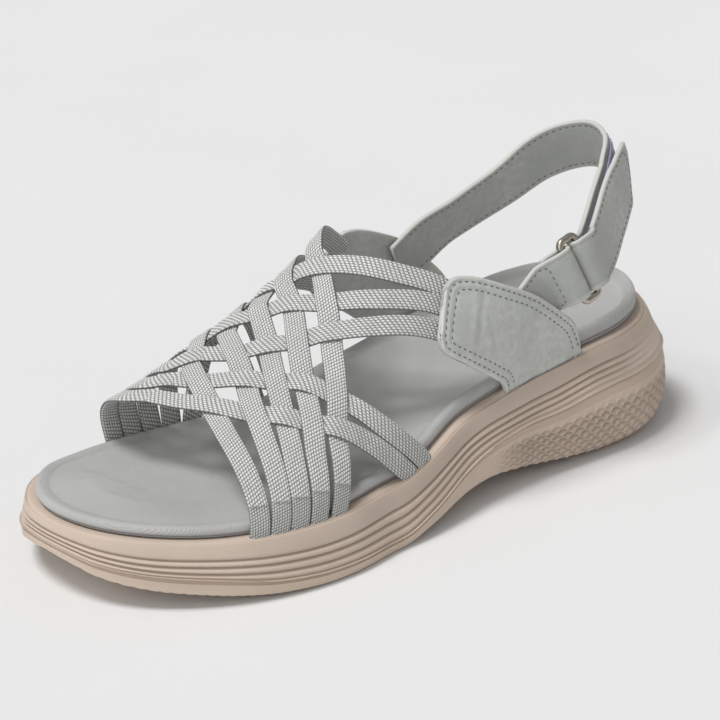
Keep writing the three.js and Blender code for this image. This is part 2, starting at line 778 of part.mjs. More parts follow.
// Ring: a rounded rectangle of wire that lies along the strap's width
function slotRing() {
  const frame = ankleFrame(ringPlace);
  const across = new THREE.Vector3().crossVectors(frame.out, frame.along);
  const centre = frame.place.clone().addScaledVector(frame.out, ringLift);
  const halfLong = tabWidth / 2 + ringPlay + ringWire / 2 - ringCorner;
  const halfWide = barOffset - ringCorner;
  const points = [];
  for (let index = 0; index < ringCornerSteps * 4; index += 1) {
    const corner = Math.floor(index / ringCornerSteps);
    const angle = Math.PI / 2 * (corner + (index % ringCornerSteps) / (ringCornerSteps - 1));
    const long = corner === 0 || corner === 3 ? halfLong : -halfLong;
    const wide = corner < 2 ? halfWide : -halfWide;
    const radial = across.clone().multiplyScalar(Math.cos(angle));
    radial.addScaledVector(frame.along, Math.sin(angle));
    const spine = centre.clone().addScaledVector(across, long).addScaledVector(frame.along, wide);
    spine.addScaledVector(radial, ringCorner);
    for (let k = 0; k < wireSides; k += 1) {
      const round = 2 * Math.PI * k / wireSides;
      const point = spine.clone().addScaledVector(radial, Math.cos(round) * ringWire / 2);
      points.push(point.addScaledVector(frame.out, Math.sin(round) * ringWire / 2));
    }
  }
  const faces = [];
  for (let low = 0; low < points.length; low += wireSides) {
    const high = (low + wireSides) % points.length;
    for (let k = 0; k < wireSides; k += 1) {
      const next = (k + 1) % wireSides;
      faces.push([low + k, low + next, high + k], [low + next, high + next, high + k]);
    }
  }
  return body(points, faces);
}

// One material for each finish of the sandal
function material(color, roughness, metalness = 0) {
  return new THREE.MeshStandardMaterial({ color, roughness, metalness });
}

const looks = {
  sole: material(0xb9aa9b, 0.6),
  bed: material(0x9fa4a6, 0.85),
  webbing: material(0xb9bcbc, 0.9),
  leather: material(0xa8adaa, 0.7),
  metal: material(0xc9c5be, 0.3, 1),
  tape: material(0xb3aec4, 0.95),
};

const sandal = new THREE.Group();

// One named piece of the sandal
function add(name, geometry, look) {
  const mesh = new THREE.Mesh(geometry, look);
  mesh.name = name;
  sandal.add(mesh);
}

add('outsole', outsole(), looks.sole);
add('midsole', midsole(), looks.sole);
add('footbed', footbed(), looks.bed);
add('woven_upper', wovenUpper(), looks.webbing);
add('lateral_quarter', quarterPanel(1), looks.leather);
add('medial_quarter', quarterPanel(-1), looks.leather);
add('ring_tab', ringTab(), looks.leather);
add('ring', slotRing(), looks.metal);
add('heel_strap', heelStrap(), looks.leather);
add('loop_tape', loopTape(), looks.tape);

// The origin is on the floor under the middle of the sandal
const box = new THREE.Box3().setFromObject(sandal);
const middle = box.getCenter(new THREE.Vector3());
sandal.children.forEach((mesh) => mesh.position.set(-middle.x, -middle.y, -box.min.z));

export default sandal;
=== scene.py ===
import math

import bmesh
import bpy
import numpy as np
from mathutils import Matrix, Vector
from mathutils.bvhtree import BVHTree


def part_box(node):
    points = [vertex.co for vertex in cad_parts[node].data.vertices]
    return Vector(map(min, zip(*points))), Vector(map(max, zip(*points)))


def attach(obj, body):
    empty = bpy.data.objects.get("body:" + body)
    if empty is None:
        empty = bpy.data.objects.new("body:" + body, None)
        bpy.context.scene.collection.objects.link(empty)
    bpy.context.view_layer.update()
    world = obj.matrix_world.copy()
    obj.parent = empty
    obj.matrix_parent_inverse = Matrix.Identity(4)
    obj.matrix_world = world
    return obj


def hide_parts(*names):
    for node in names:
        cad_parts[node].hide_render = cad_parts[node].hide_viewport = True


# A left woven-strap sandal: toes to +X, outer side to +Y, up is +Z. Sizes are in millimetres.
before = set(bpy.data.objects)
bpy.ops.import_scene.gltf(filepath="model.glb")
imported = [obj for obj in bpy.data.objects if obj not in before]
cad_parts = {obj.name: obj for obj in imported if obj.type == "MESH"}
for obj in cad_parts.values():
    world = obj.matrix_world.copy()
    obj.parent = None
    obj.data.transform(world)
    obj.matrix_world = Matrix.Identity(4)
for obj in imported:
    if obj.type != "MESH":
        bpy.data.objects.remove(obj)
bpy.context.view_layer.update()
MM = 0.001

# The camera's place round the sandal, and the photo's frame
AZIMUTH = 139.48
ELEVATION = 21.93
ROLL = -1.18
DISTANCE = 885.7
AIM_RIGHT = -0.48
AIM_HEIGHT = 44.84
LENS = 129.6

# Sizes of the sole and the footbed
FOOT_LENGTH = 255
BALL_WIDTH = 94
HEEL_WIDTH = 68
TOE_SWING = 5.8
HEEL_HEIGHT = 40.4
WAIST_HEIGHT = 32
FORE_HEIGHT = 20.4
TOE_HEIGHT = 24
TOE_SPRING = 14
HEEL_ROCKER = 11
ARCH_RISE = 7.6
HEEL_FLARE = 8.4
FORE_FLARE = 4.2
GROOVE_DEPTH = 0.9
GROOVE_HALF = 0.44
RIB_SWELL = 0.2
LIP_BEAD = 0.6
BAND_SHADE = 0.13
STEP_SHARE = 0.055
TREAD_DEPTH = 1.2
TREAD_WIDTH = 2.4
TREAD_PITCH = 9
SEAT_GAP = 0.3
LEDGE = 3.2
FORE_RIM = 4.4
HEEL_RIM = 7.6
HEEL_CUP = 4.4
ARCH_PAD = 3

# Sizes of the foot form and the upper
INSTEP_RISE = 62
TOE_BOX = 21
FORM_INSET = 2.6
STRAP_WIDTH = 7.4
STRAP_WALL = 1.8
WEAVE_LIFT = 0.8
LEATHER_WALL = 1.8
EDGE_ROUND = 0.75
TAB_WIDTH = 19.4
TAB_FLARE = 1.2
TAB_OVERLAP = 6
RING_WIRE = 2.6
RING_PLAY = 0.5
RING_CORNER = 2
TAPE_WALL = 0.7
TAPE_WIDTH = 13
TAPE_LENGTH = 56
ANKLE_HALF = 33
ANKLE_HEIGHT = 98
ANKLE_TILT = 17
QUARTER_TILT = 5
RING_PLACE = 31.5
CLOSURE_LENGTH = 53
CLOSURE_RISE = 2


# How the yarn of the webbing steps from row to row, as shares of its pitch
YARN_ROWS = 8
ROW_STEP = 0.36
DASH_SLANT = 0.22


# Small tools for curves and grids
def table(columns, rows):
    """Rows of numbers as named columns."""
    return {name: np.array(column, float) for name, column in zip(columns.split(), zip(*rows))}


def hermite(t, low, high, leave, arrive):
    """A smooth step between two values that leaves and arrives at given slopes."""
    hold = (1 + 2 * t) * (1 - t) ** 2 * low + t * t * (3 - 2 * t) * high
    return hold + t * (1 - t) ** 2 * leave + t * t * (t - 1) * arrive


def through(x, y):
    """A smooth curve through points that never overshoots them."""
    x, y = np.asarray(x, float), np.asarray(y, float)
    span = np.diff(x)
    step = np.diff(y) / span
    before, after = np.r_[step[0], step], np.r_[step, step[-1]]
    same = before * after > 0
    slope = np.where(same, 2 * before * after / np.where(same, before + after, 1), 0)

    def value(at):
        at = np.clip(at, x[0], x[-1])
        i = np.clip(np.searchsorted(x, at) - 1, 0, len(span) - 1)
        return hermite((at - x[i]) / span[i], y[i], y[i + 1], span[i] * slope[i], span[i] * slope[i + 1])

    return value


def curves(rows, key="at"):
    """One smooth curve for each column of a table."""
    return {name: through(rows[key], rows[name]) for name in rows if name != key}


def smoothstep(value, low, high):
    t = np.clip((value - low) / (high - low), 0, 1)
    return t * t * (3 - 2 * t)


def hump(value, width):
    """A smooth hill that is 1 at 0 and fades over the width."""
    return np.exp(-(value / width) ** 2)


def unit(vectors):
    return vectors / np.maximum(np.linalg.norm(vectors, axis=-1, keepdims=True), 1e-12)


def along(points):
    """Directions along a line of points."""
    return unit(np.gradient(points, axis=0))


def run_of(points):
    """Distance along a line of points at each of them."""
    return np.r_[0, np.cumsum(np.linalg.norm(np.diff(points, axis=0), axis=1))]


def pick(places, run, values):
    """The values of a line's points at other distances along it."""
    return np.stack([np.interp(places, run, column) for column in np.asarray(values).T], -1)


def resample(points, step, *others):
    """A line of points at even steps, and other values of it at the same places."""
    run = run_of(points)
    even = np.linspace(0, run[-1], max(int(round(run[-1] / step)), 2) + 1)
    return [pick(even, run, values) for values in (points, *others)]


def round_over(edge):
    """How full a leather edge is at a distance from its cut side: 0 on it, 1 past its rounding."""
    return np.sqrt(np.clip(1 - np.clip(1 - edge / EDGE_ROUND, 0, 1) ** 2, 0, 1))


# Shape of the sole, as shares of its length, width and heights along the foot
outline = curves(table("at lateral medial swing", [
    (0.00, 0.780, 0.800, 0.00),
    (0.05, 0.820, 0.806, 0.00),
    (0.12, 0.770, 0.700, 0.00),
    (0.22, 0.653, 0.565, 0.00),
    (0.35, 0.572, 0.446, 0.00),
    (0.48, 0.488, 0.363, 0.00),
    (0.60, 0.506, 0.400, 0.02),
    (0.70, 0.588, 0.486, 0.14),
    (0.78, 0.645, 0.560, 0.34),
    (0.86, 0.695, 0.638, 0.62),
    (0.93, 0.734, 0.720, 0.84),
    (1.00, 0.790, 0.750, 1.00),
]))
feather_height = curves(table("at z", [
    (0.00, HEEL_HEIGHT),
    (0.12, HEEL_HEIGHT * 0.99),
    (0.30, HEEL_HEIGHT * 0.62 + WAIST_HEIGHT * 0.38),
    (0.45, WAIST_HEIGHT),
    (0.60, FORE_HEIGHT * 1.045),
    (0.72, FORE_HEIGHT),
    (0.85, FORE_HEIGHT * 1.027),
    (1.00, TOE_HEIGHT),
]))["z"]
underside_height = curves(table("at z", [
    (0.00, HEEL_ROCKER),
    (0.03, HEEL_ROCKER * 0.4),
    (0.07, HEEL_ROCKER * 0.09),
    (0.11, 0),
    (0.20, 0),
    (0.25, ARCH_RISE * 0.18),
    (0.30, ARCH_RISE * 0.42),
    (0.36, ARCH_RISE * 0.76),
    (0.42, ARCH_RISE),
    (0.48, ARCH_RISE * 0.82),
    (0.55, ARCH_RISE * 0.36),
    (0.61, 0),
    (0.72, 0),
    (0.80, TOE_SPRING * 0.08),
    (0.85, TOE_SPRING * 0.195),
    (0.89, TOE_SPRING * 0.32),
    (0.94, TOE_SPRING * 0.49),
    (0.98, TOE_SPRING * 0.72),
    (1.00, TOE_SPRING),
]))["z"]
side = curves(table("at groove1 groove2 groove3 lip flare depth block", [
    (0.00, 0.19, 0.25, 0.31, 0.46, HEEL_FLARE * 0.78, 0.0, 1.0),
    (0.06, 0.15, 0.20, 0.25, 0.35, HEEL_FLARE * 0.8, 0.1, 1.0),
    (0.12, 0.15, 0.20, 0.245, 0.345, HEEL_FLARE * 0.86, 0.4, 1.0),
    (0.20, 0.155, 0.205, 0.255, 0.357, HEEL_FLARE * 0.78, 1.0, 1.0),
    (0.30, 0.215, 0.279, 0.341, 0.447, HEEL_FLARE * 0.6, 1.0, 0.8),
    (0.36, 0.235, 0.305, 0.378, 0.476, HEEL_FLARE * 0.52, 1.0, 0.4),
    (0.42, 0.255, 0.346, 0.422, 0.56, FORE_FLARE, 1.0, 0.1),
    (0.48, 0.30, 0.39, 0.487, 0.65, FORE_FLARE, 1.0, 0.0),
    (0.55, 0.326, 0.454, 0.588, 0.767, FORE_FLARE, 1.0, 0.0),
    (0.61, 0.352, 0.505, 0.648, 0.835, FORE_FLARE * 1.05, 1.0, 0.0),
    (0.72, 0.37, 0.497, 0.637, 0.81, FORE_FLARE, 1.0, 0.0),
    (0.80, 0.351, 0.471, 0.603, 0.775, FORE_FLARE * 0.9, 1.0, 0.0),
    (0.89, 0.318, 0.441, 0.564, 0.70, FORE_FLARE * 0.72, 1.0, 0.0),
    (0.95, 0.332, 0.457, 0.565, 0.705, FORE_FLARE * 0.6, 1.0, 0.0),
    (1.00, 0.33, 0.45, 0.56, 0.74, FORE_FLARE * 0.45, 1.0, 0.0),
]))
rim = curves(table("at height dip", [
    (0.00, HEEL_RIM, HEEL_CUP),
    (0.25, HEEL_RIM * 0.85, HEEL_CUP * 0.8),
    (0.45, FORE_RIM * 1.2, HEEL_CUP * 0.45),
    (0.65, FORE_RIM, HEEL_CUP * 0.25),
    (1.00, FORE_RIM * 0.9, HEEL_CUP * 0.12),
]))
arch_height = through([0.2, 0.42, 0.62], [0, ARCH_PAD, 0])


def side_width(at, sign):
    """The feather line's distance from the long axis on one side."""
    local = HEEL_WIDTH + (BALL_WIDTH - HEEL_WIDTH) * smoothstep(at, 0.3, 0.6)
    share = np.where(np.asarray(sign) > 0, outline["lateral"](at), outline["medial"](at))
    rounding = 2 * np.sqrt(np.clip(at * (1 - at), 0, None))
    return sign * local * share * rounding - TOE_SWING * outline["swing"](at)


def side_height(at, share):
    return feather_height(at) + (underside_height(at) - feather_height(at)) * share


class Feather:
    """The line where the footbed meets the sole, from the heel round the outer side and back."""

    def __init__(self, count):
        turn = np.arange(count) / count
        self.at, self.sign, self.place = self.point(turn)
        heading = unit(self.point(turn + 0.001)[2] - self.point(turn + 0.999)[2])
        self.out = np.stack([-heading[:, 1], heading[:, 0]], -1)
        self.run = run_of(np.vstack([self.place, self.place[:1]]))[:-1]

    @staticmethod
    def point(turn):
        turn = turn % 1
        lateral = turn <= 0.5
        at = (1 - np.cos(np.pi * np.where(lateral, turn * 2, 2 - turn * 2))) / 2
        sign = np.where(lateral, 1.0, -1.0)
        return at, sign, np.stack([(at - 0.5) * FOOT_LENGTH, side_width(at, sign)], -1)

    def ring(self, offset, height):
        """A closed ring at an offset outwards and a height."""
        flat = self.place + self.out * np.broadcast_to(offset, self.at.shape)[:, None]
        return np.column_stack([flat, np.broadcast_to(height, self.at.shape)])


# How far the sole's own origin lies from the floor point under the sandal's middle, by the footbed's box
bed_low, bed_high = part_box("footbed")
own_bed = Feather(60).ring(-LEDGE, 0)
SHIFT = np.append(
    (np.array(bed_low) + np.array(bed_high))[:2] / 2 / MM - (own_bed.min(0) + own_bed.max(0))[:2] / 2,
    0,
)


# Making of pieces
def piece(name, points, faces, look, nodes=(), painted_shade_and_edge_tone=None, thread=None):
    """A closed mesh that rides on the frame, in the frame's place and in metres."""
    mesh = bpy.data.meshes.new(name)
    mesh.from_pydata(((np.asarray(points) + SHIFT) * MM).tolist(), [], faces)
    mesh.polygons.foreach_set("use_smooth", [True] * len(mesh.polygons))
    shell = bmesh.new()
    shell.from_mesh(mesh)
    bmesh.ops.recalc_face_normals(shell, faces=shell.faces)
    shell.to_mesh(mesh)
    shell.free()
    # This mask attribute holds painted shade (the sole's grooves, cells, tread and upper band, and the
    # footbed's rim), the footbed's dark seam line and the leather's paler cut edge
    if painted_shade_and_edge_tone is not None:
        shade = mesh.attributes.new("painted_shade_and_edge_tone", "FLOAT", "POINT")
        shade.data.foreach_set("value", np.asarray(painted_shade_and_edge_tone, np.float32).ravel())
    if thread is not None:
        chart = mesh.attributes.new("thread", "FLOAT_VECTOR", "POINT")
        chart.data.foreach_set("vector", np.asarray(thread, np.float32).ravel())
    mesh.materials.append(look)
    made = bpy.data.objects.new(name, mesh)
    bpy.context.scene.collection.objects.link(made)
    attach(made, "root")
    if nodes:
        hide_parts(*nodes)
    return made


def quads(index):
    """The four corners of each cell of a grid of numbered points."""
    corners = np.stack([index[:-1, :-1], index[1:, :-1], index[1:, 1:], index[:-1, 1:]], -1)
    return corners.reshape(-1, 4).tolist()


def grid_faces(rows, columns, wrap=True, ring=False):
    """Quads of a grid of points, closed across its columns, and for a ring across its rows too."""
    index = np.arange(rows * columns).reshape(rows, columns)
    if wrap:
        index = np.hstack([index, index[:, :1]])
    if ring:
        index = np.vstack([index, index[:1]])
    return quads(index)


def tube(sections):
    """Points and faces of a closed tube through equal sections, with its ends closed."""
    count, corners = sections.shape[:2]
    points = sections.reshape(-1, 3)
    faces = grid_faces(count, corners)
    middles = [sections[0].mean(0), sections[-1].mean(0)]
    for end, start in enumerate([0, (count - 1) * corners]):
        middle = len(points) + end
        faces += [[start + k, start + (k + 1) % corners, middle] for k in range(corners)]
    return np.vstack([points, middles]), faces


def ladder(ring, start, first, inner):
    """A cap across a ring of the sole: rows of points between the outer and the inner side."""
    count = len(ring)
    half = count // 2
    rows = np.arange(1, half)
    share = np.arange(1, inner + 1)[None, :, None] / (inner + 1)
    between = ring[rows][:, None] * (1 - share) + ring[count - rows][:, None] * share
    index = first + np.arange(len(rows) * inner).reshape(-1, inner)
    index = np.column_stack([start + rows, index, start + count - rows])
    faces = quads(index)
    for end, row in ((start, index[0]), (start + half, index[-1])):
        faces += [[end, int(a), int(b)] for a, b in zip(row[:-1], row[1:])]
    return between.reshape(-1, 3), faces


def stack(rings, shade, inner):
    """A closed body from rings of the sole laid over each other and capped across the foot, and its shade."""
    rings = np.array(rings)
    count, corners = rings.shape[:2]
    points = rings.reshape(-1, 3)
    faces = grid_faces(count, corners)
    for start, ring in ((0, rings[0]), ((count - 1) * corners, rings[-1])):
        between, cap = ladder(ring, start, len(points), inner)
        points = np.vstack([points, between])
        faces += cap
    painted_shade_and_edge_tone = np.zeros(len(points))
    painted_shade_and_edge_tone[: count * corners] = np.concatenate([np.broadcast_to(row, corners) for row in shade])
    return points, faces, painted_shade_and_edge_tone


def scatter(template, faces, places, axes):
    """Many copies of a small mesh, each turned to its own three axes."""
    points = np.einsum("vk,nkc->nvc", template, axes) + places[:, None]
    step = len(template)
    joined = [[k + copy * step for k in face] for copy in range(len(places)) for face in faces]
    return points.reshape(-1, 3), joined


# Materials
def colour(red, green, blue):
    """A colour as seen on a screen, as the shader's own value."""
    parts = [c / 255 for c in (red, green, blue)]
    return (*[c / 12.92 if c <= 0.04045 else ((c + 0.055) / 1.055) ** 2.4 for c in parts], 1.0)


class Look:
    """A procedural material, put together node by node."""

    def __init__(self, name, settings):
        self.material = bpy.data.materials.new(name)
        self.material.use_nodes = True
        self.tree = self.material.node_tree
        self.shader = self.tree.nodes["Principled BSDF"]
        self.put(self.shader, settings)
        self.place = self.node("TexCoord", "Object")

    def put(self, node, settings):
        for name, value in settings.items():
            if isinstance(value, bpy.types.NodeSocket):
                self.tree.links.new(value, node.inputs[name])
            else:
                node.inputs[name].default_value = value

    def node(self, kind, output, settings=None, **options):
        made = self.tree.nodes.new("ShaderNode" + kind)
        for name, value in options.items():
            setattr(made, name, value)
        self.put(made, settings or {})
        return made.outputs[output]

    def noise(self, scale, detail=2.0, roughness=0.5, stretch=None):
        place = self.place
        if stretch:
            place = self.node("Mapping", 0, {"Vector": place, "Scale": stretch})
        values = {"Vector": place, "Scale": scale, "Detail": detail, "Roughness": roughness}
        return self.node("TexNoise", 0, values)

    def patches(self, scale, detail, start=0.0, end=1.0, roughness=0.5):
        """Noise spread out between two values."""
        return self.ramp(self.noise(scale, detail, roughness), 0.3, 0.7, start, end)

    def math(self, operation, *values):
        return self.node("Math", 0, dict(enumerate(values)), operation=operation)

    def ramp(self, value, low, high, start=0.0, end=1.0):
        values = {"Value": value, "From Min": low, "From Max": high, "To Min": start, "To Max": end}
        return self.node("MapRange", 0, values)

    def mix(self, share, one, other):
        return self.node("Mix", 2, {0: share, 6: one, 7: other}, data_type="RGBA")

    def attribute(self, name, output):
        return self.node("Attribute", output, attribute_name=name)

    def bump(self, height, strength, depth, under=None):
        values = {"Height": height, "Strength": strength, "Distance": depth * MM}
        if under:
            values["Normal"] = under
        return self.node("Bump", 0, values)

    def finish(self, base, rough, normal):
        self.put(self.shader, {"Base Color": base, "Roughness": rough, "Normal": normal})
        return self.material


def foam_look(name, pale, deep, painted_shade_colour):
    """Moulded foam: an even matt surface with a fine skin, with painted shade darkening its grooves, step,
    cells, tread and upper band.
    """
    look = Look(name, {"Specular IOR Level": 0.35})
    clouds = look.patches(28, 3)
    specks = look.ramp(look.noise(900, 2), 0.35, 0.75, 0.0, 0.35)
    base = look.mix(specks, look.mix(clouds, pale, deep), deep)
    painted_shade_and_edge_tone = look.attribute("painted_shade_and_edge_tone", "Fac")
    # Painted shade: the mask mixes the foam towards its dark shade colour
    base = look.mix(painted_shade_and_edge_tone, base, painted_shade_colour)
    skin = look.bump(look.noise(1500, 4), 0.12, 0.12)
    skin = look.bump(look.noise(120, 2), 0.1, 0.3, skin)
    rough = look.patches(60, 3, 0.5, 0.62)
    return look.finish(base, rough, skin)


def leather_look(name, pale, deep, edge):
    """Soft leather with a fine mottled grain and a paler cut edge."""
    look = Look(name, {"Specular IOR Level": 0.4, "Sheen Weight": 0.12, "Sheen Roughness": 0.5})
    clouds = look.ramp(look.noise(42, 4, 0.6), 0.32, 0.68)
    mottle = look.patches(420, 5, roughness=0.7)
    base = look.mix(mottle, look.mix(clouds, pale, deep), deep)
    base = look.mix(look.attribute("painted_shade_and_edge_tone", "Fac"), base, edge)
    cells = look.node("TexVoronoi", 0, {"Vector": look.place, "Scale": 950.0}, feature="SMOOTH_F1")
    grain = look.bump(cells, 0.35, 0.16)
    grain = look.bump(look.noise(420, 6, 0.7), 0.32, 0.22, grain)
    grain = look.bump(look.noise(70, 3, 0.6), 0.22, 0.6, grain)
    rough = look.patches(300, 3, 0.5, 0.7)
    return look.finish(base, rough, grain)


def webbing_look(name, yarn, ground, gap):
    """Elastic webbing: rows of pale dashes over a darker ground, set out along each strap."""
    look = Look(name, {"Specular IOR Level": 0.2, "Sheen Weight": 0.25, "Sheen Roughness": 0.6})
    chart = look.node("SeparateXYZ", 0, {"Vector": look.attribute("thread", "Vector")}).node
    row = look.math("FRACT", chart.outputs[1])
    step = look.math("MULTIPLY", look.math("FLOOR", chart.outputs[1]), ROW_STEP)
    slant = look.math("MULTIPLY", row, DASH_SLANT)
    dash = look.math("ADD", chart.outputs[0], look.math("ADD", step, slant))
    from_row = look.math("ABSOLUTE", look.math("SUBTRACT", row, 0.5))
    from_dash = look.math("ABSOLUTE", look.math("SUBTRACT", look.math("FRACT", dash), 0.5))
    fibre = look.noise(2600, 2)
    ragged = look.ramp(fibre, 0.3, 0.7, -0.06, 0.06)
    from_dash = look.math("ADD", from_dash, ragged)
    pale = look.math("MULTIPLY", look.ramp(from_dash, 0.36, 0.24), look.ramp(from_row, 0.48, 0.32))
    # Painted shade in the thin gaps between the rows of yarn
    seam = look.ramp(look.math("ADD", from_row, ragged), 0.36, 0.5)
    base = look.mix(seam, look.mix(pale, ground, yarn), gap)
    clouds = look.patches(160, 3, 0.0, 0.22)
    base = look.mix(clouds, base, ground)
    # Painted shadow from the chart's third value: darker towards the foot of the straps
    base = look.mix(look.math("MULTIPLY", chart.outputs[2], 0.2), base, gap)
    # Painted shade along each strap's edges, which also draws the dark lines between neighbouring straps
    from_middle = look.math("ABSOLUTE", look.math("SUBTRACT", chart.outputs[1], YARN_ROWS / 2))
    edge_painted_shade = look.ramp(from_middle, YARN_ROWS / 2 - 0.5, YARN_ROWS / 2 - 0.1, 0.0, 0.75)
    base = look.mix(edge_painted_shade, base, gap)
    weave = look.bump(look.math("SUBTRACT", pale, seam), 0.5, 0.22)
    weave = look.bump(fibre, 0.25, 0.1, weave)
    return look.finish(base, 0.85, weave)


def fabric_look(name, pale, deep):
    """The footbed's cover: a fine twill with a soft sheen."""
    look = Look(name, {"Specular IOR Level": 0.25, "Sheen Weight": 0.3, "Sheen Roughness": 0.5})
    split = look.node("SeparateXYZ", 0, {"Vector": look.place}).node
    slant = look.math("ADD", split.outputs[0], look.math("MULTIPLY", split.outputs[1], 0.75))
    slant = look.math("ADD", slant, look.math("MULTIPLY", split.outputs[2], 0.9))
    lines = look.math("SINE", look.math("MULTIPLY", slant, 2 * math.pi / (0.62 * MM)))
    cross = look.math("SUBTRACT", split.outputs[1], look.math("MULTIPLY", split.outputs[0], 0.6))
    cross = look.math("SINE", look.math("MULTIPLY", cross, 2 * math.pi / (1.1 * MM)))
    weave = look.math("ADD", lines, look.math("MULTIPLY", cross, 0.35))
    clouds = look.patches(35, 3, 0.0, 0.5)
    base = look.mix(clouds, pale, deep)
    base = look.mix(look.ramp(weave, -1.2, 1.2, 0.45, 0.0), base, deep)
    # Darker at the seam line, and painted shade on the rim's roll
    base = look.mix(look.attribute("painted_shade_and_edge_tone", "Fac"), base, colour(84, 88, 90))
    cloth = look.bump(weave, 0.4, 0.12)
    cloth = look.bump(look.noise(1800, 2), 0.2, 0.1, cloth)
    return look.finish(base, 0.78, cloth)


def metal_look(name):
    """Plated nickel with a slightly warm tint and fine wear."""
    look = Look(name, {"Metallic": 1.0})
    wear = look.noise(900, 4, 0.6, (1, 1, 6))
    base = look.mix(look.ramp(wear, 0.35, 0.75), colour(200, 194, 182), colour(150, 142, 128))
    rough = look.ramp(wear, 0.3, 0.75, 0.22, 0.42)
    return look.finish(base, rough, look.bump(wear, 0.15, 0.05))


def thread_look(name, tint):
    look = Look(name, {"Specular IOR Level": 0.3})
    strands = look.noise(3000, 2, 0.5)
    base = look.mix(look.ramp(strands, 0.3, 0.7, 0.0, 0.5), tint, colour(60, 64, 62))
    return look.finish(base, 0.7, look.bump(strands, 0.4, 0.08))


def tape_look(name, pale, deep):
    look = Look(name, {"Specular IOR Level": 0.15, "Sheen Weight": 0.5, "Sheen Roughness": 0.6})
    fuzz = look.noise(1400, 5, 0.7)
    base = look.mix(look.ramp(fuzz, 0.35, 0.65), pale, deep)
    return look.finish(base, 0.95, look.bump(fuzz, 0.8, 0.4))


def floor_look(name):
    look = Look(name, {"Specular IOR Level": 0.1})
    base = look.mix(look.patches(6, 2), colour(229, 229, 229), colour(227, 227, 227))
    return look.finish(base, 0.85, look.bump(look.noise(300, 2), 0.02, 0.1))


# The third colour of each foam is a painted shade colour for its grooves, cells and tread
SOLE = foam_look("foam", colour(209, 192, 177), colour(198, 181, 166), colour(112, 97, 83))
BLOCK = foam_look("rubber", colour(214, 196, 179), colour(204, 186, 169), colour(98, 82, 68))
BED = fabric_look("bed_cloth", colour(190, 190, 188), colour(160, 160, 159))
WEBBING = webbing_look("webbing", colour(232, 232, 229), colour(150, 150, 148), colour(80, 80, 79))
QUARTER = leather_look("quarter_leather", colour(212, 214, 209), colour(178, 180, 175), colour(214, 215, 211))
STRAP = leather_look("strap_leather", colour(194, 196, 191), colour(163, 165, 160), colour(206, 206, 201))
NICKEL = metal_look("nickel")
# The sewing thread is darker than the leather: its colour is partly painted shade for the recess each stitch
# sinks into
THREAD = thread_look("sewing_thread", colour(124, 129, 127))
PALE_THREAD = thread_look("pale_thread", colour(205, 208, 207))
TAPE = tape_look("loop_cloth", colour(176, 172, 204), colour(138, 133, 170))


# Midsole: smooth band, three grooves with two ribs between them, a step and the lip
SIDE_REACH = through([0, 0.45, 1, 2, 3, 3.35, 4], [0.0, 0.27, 0.46, 0.62, 0.78, 0.9, 0.98])
LIP_REACH = 0.97
LIP_ROUND = ((4.0, 0.0), (0.8, 0.0), (0.22, 0.05), (0.05, 0.2), (0.0, 0.45))
TOP_ROUND = ((-0.08, 1.3), (-0.25, 0.75), (-0.55, 0.36), (-0.95, 0.12), (-1.5, 0.02), (-2.6, 0))
LIP_THICK = 0.6
STEP_DEPTH = 0.75
GROOVE_SHADE = 0.32


def midsole():
    line = Feather(960)
    at = line.at
    lip, flare, kept = (side[name](at) for name in ("lip", "flare", "depth"))
    anchors = np.stack([0 * at, *[side[name](at) for name in ("groove1", "groove2", "groove3")], lip])
    wall = feather_height(at) - underside_height(at)
    seat = side_height(at, lip) + SEAT_GAP
    rings = [line.ring(flare * LIP_REACH - inward, seat + rise) for inward, rise in LIP_ROUND]
    shade = [0] * len(rings)
    ease = (1 - np.cos(np.pi * np.linspace(0, 1, 14))) / 2
    for q in np.concatenate([3 + ease[:0:-1], 2 + ease[:0:-1], 1 + ease[:0:-1], ease[:1:-1]]):
        low = min(int(q), 3)
        share = anchors[low] + (anchors[low + 1] - anchors[low]) * (q - low)
        height = side_height(at, share)
        if q > 3.5:
            height = np.maximum(height, seat + LIP_THICK)
        over_lip = (lip - share) * wall
        step = STEP_DEPTH * hump(over_lip - STEP_SHARE * wall, GROOVE_HALF) * (0.3 + 0.7 * kept)
        grooves = hump((share - anchors[1:4]) * wall, GROOVE_HALF) * kept
        notch = np.maximum(grooves.max(0), step)
        rib = RIB_SWELL * np.sin(np.pi * np.clip(q - 1, 0, 2)) ** 2 * kept
        bead = LIP_BEAD * hump(over_lip - 0.35, 0.4)
        band = BAND_SHADE * hump(q - 0.5, 0.45) * (1 - smoothstep(at, 0.58, 0.75))
        rings.append(line.ring(flare * SIDE_REACH(q) + rib + bead - GROOVE_DEPTH * notch, height))
        # Painted shade: darker in the grooves and the step, and over the upper band towards the middle and
        # heel
        shade.append(GROOVE_SHADE * notch**1.5 + band)
    rings += [line.ring(offset, feather_height(at) - drop) for offset, drop in TOP_ROUND]
    shade += [0] * len(TOP_ROUND)
    points, faces, painted_shade_and_edge_tone = stack(rings, shade, 6)
    piece("midsole_foam", points, faces, SOLE, ["midsole"], painted_shade_and_edge_tone=painted_shade_and_edge_tone)


# Outsole: a thin layer at the front that swells into the heel block, with rows of scooped cells on it
SOLE_SPREAD = through([0, 0.06, 0.28, 0.55, 0.8, 0.94], [0.86, 0.92, 0.92, 0.88, 0.86, 0.7])
BLOCK_SPREAD = through([0, 0.06, 0.28, 0.55, 0.8, 0.94], [0.9, 1.0, 1.17, 1.24, 1.04, 0.6])
FOOT_SPREAD = 0.2
CURL_SHARE = 0.94
EDGE_CURL = 2.4
TREAD_STRETCHES = ((0.05, 0.3), (0.56, 0.95))
TREAD_SHADE = 0.5
TOOTH_PITCH = 2.9
TOOTH_HALF = 0.6
TOOTH_DEPTH = 0.7
CELL_WIDTH = 5.1
CELL_ROWS = 10
CELL_DEPTH = 2.7
CELL_SHADE = 0.62
BAND_SHARE = 0.13
BAND_STEP = 0.55


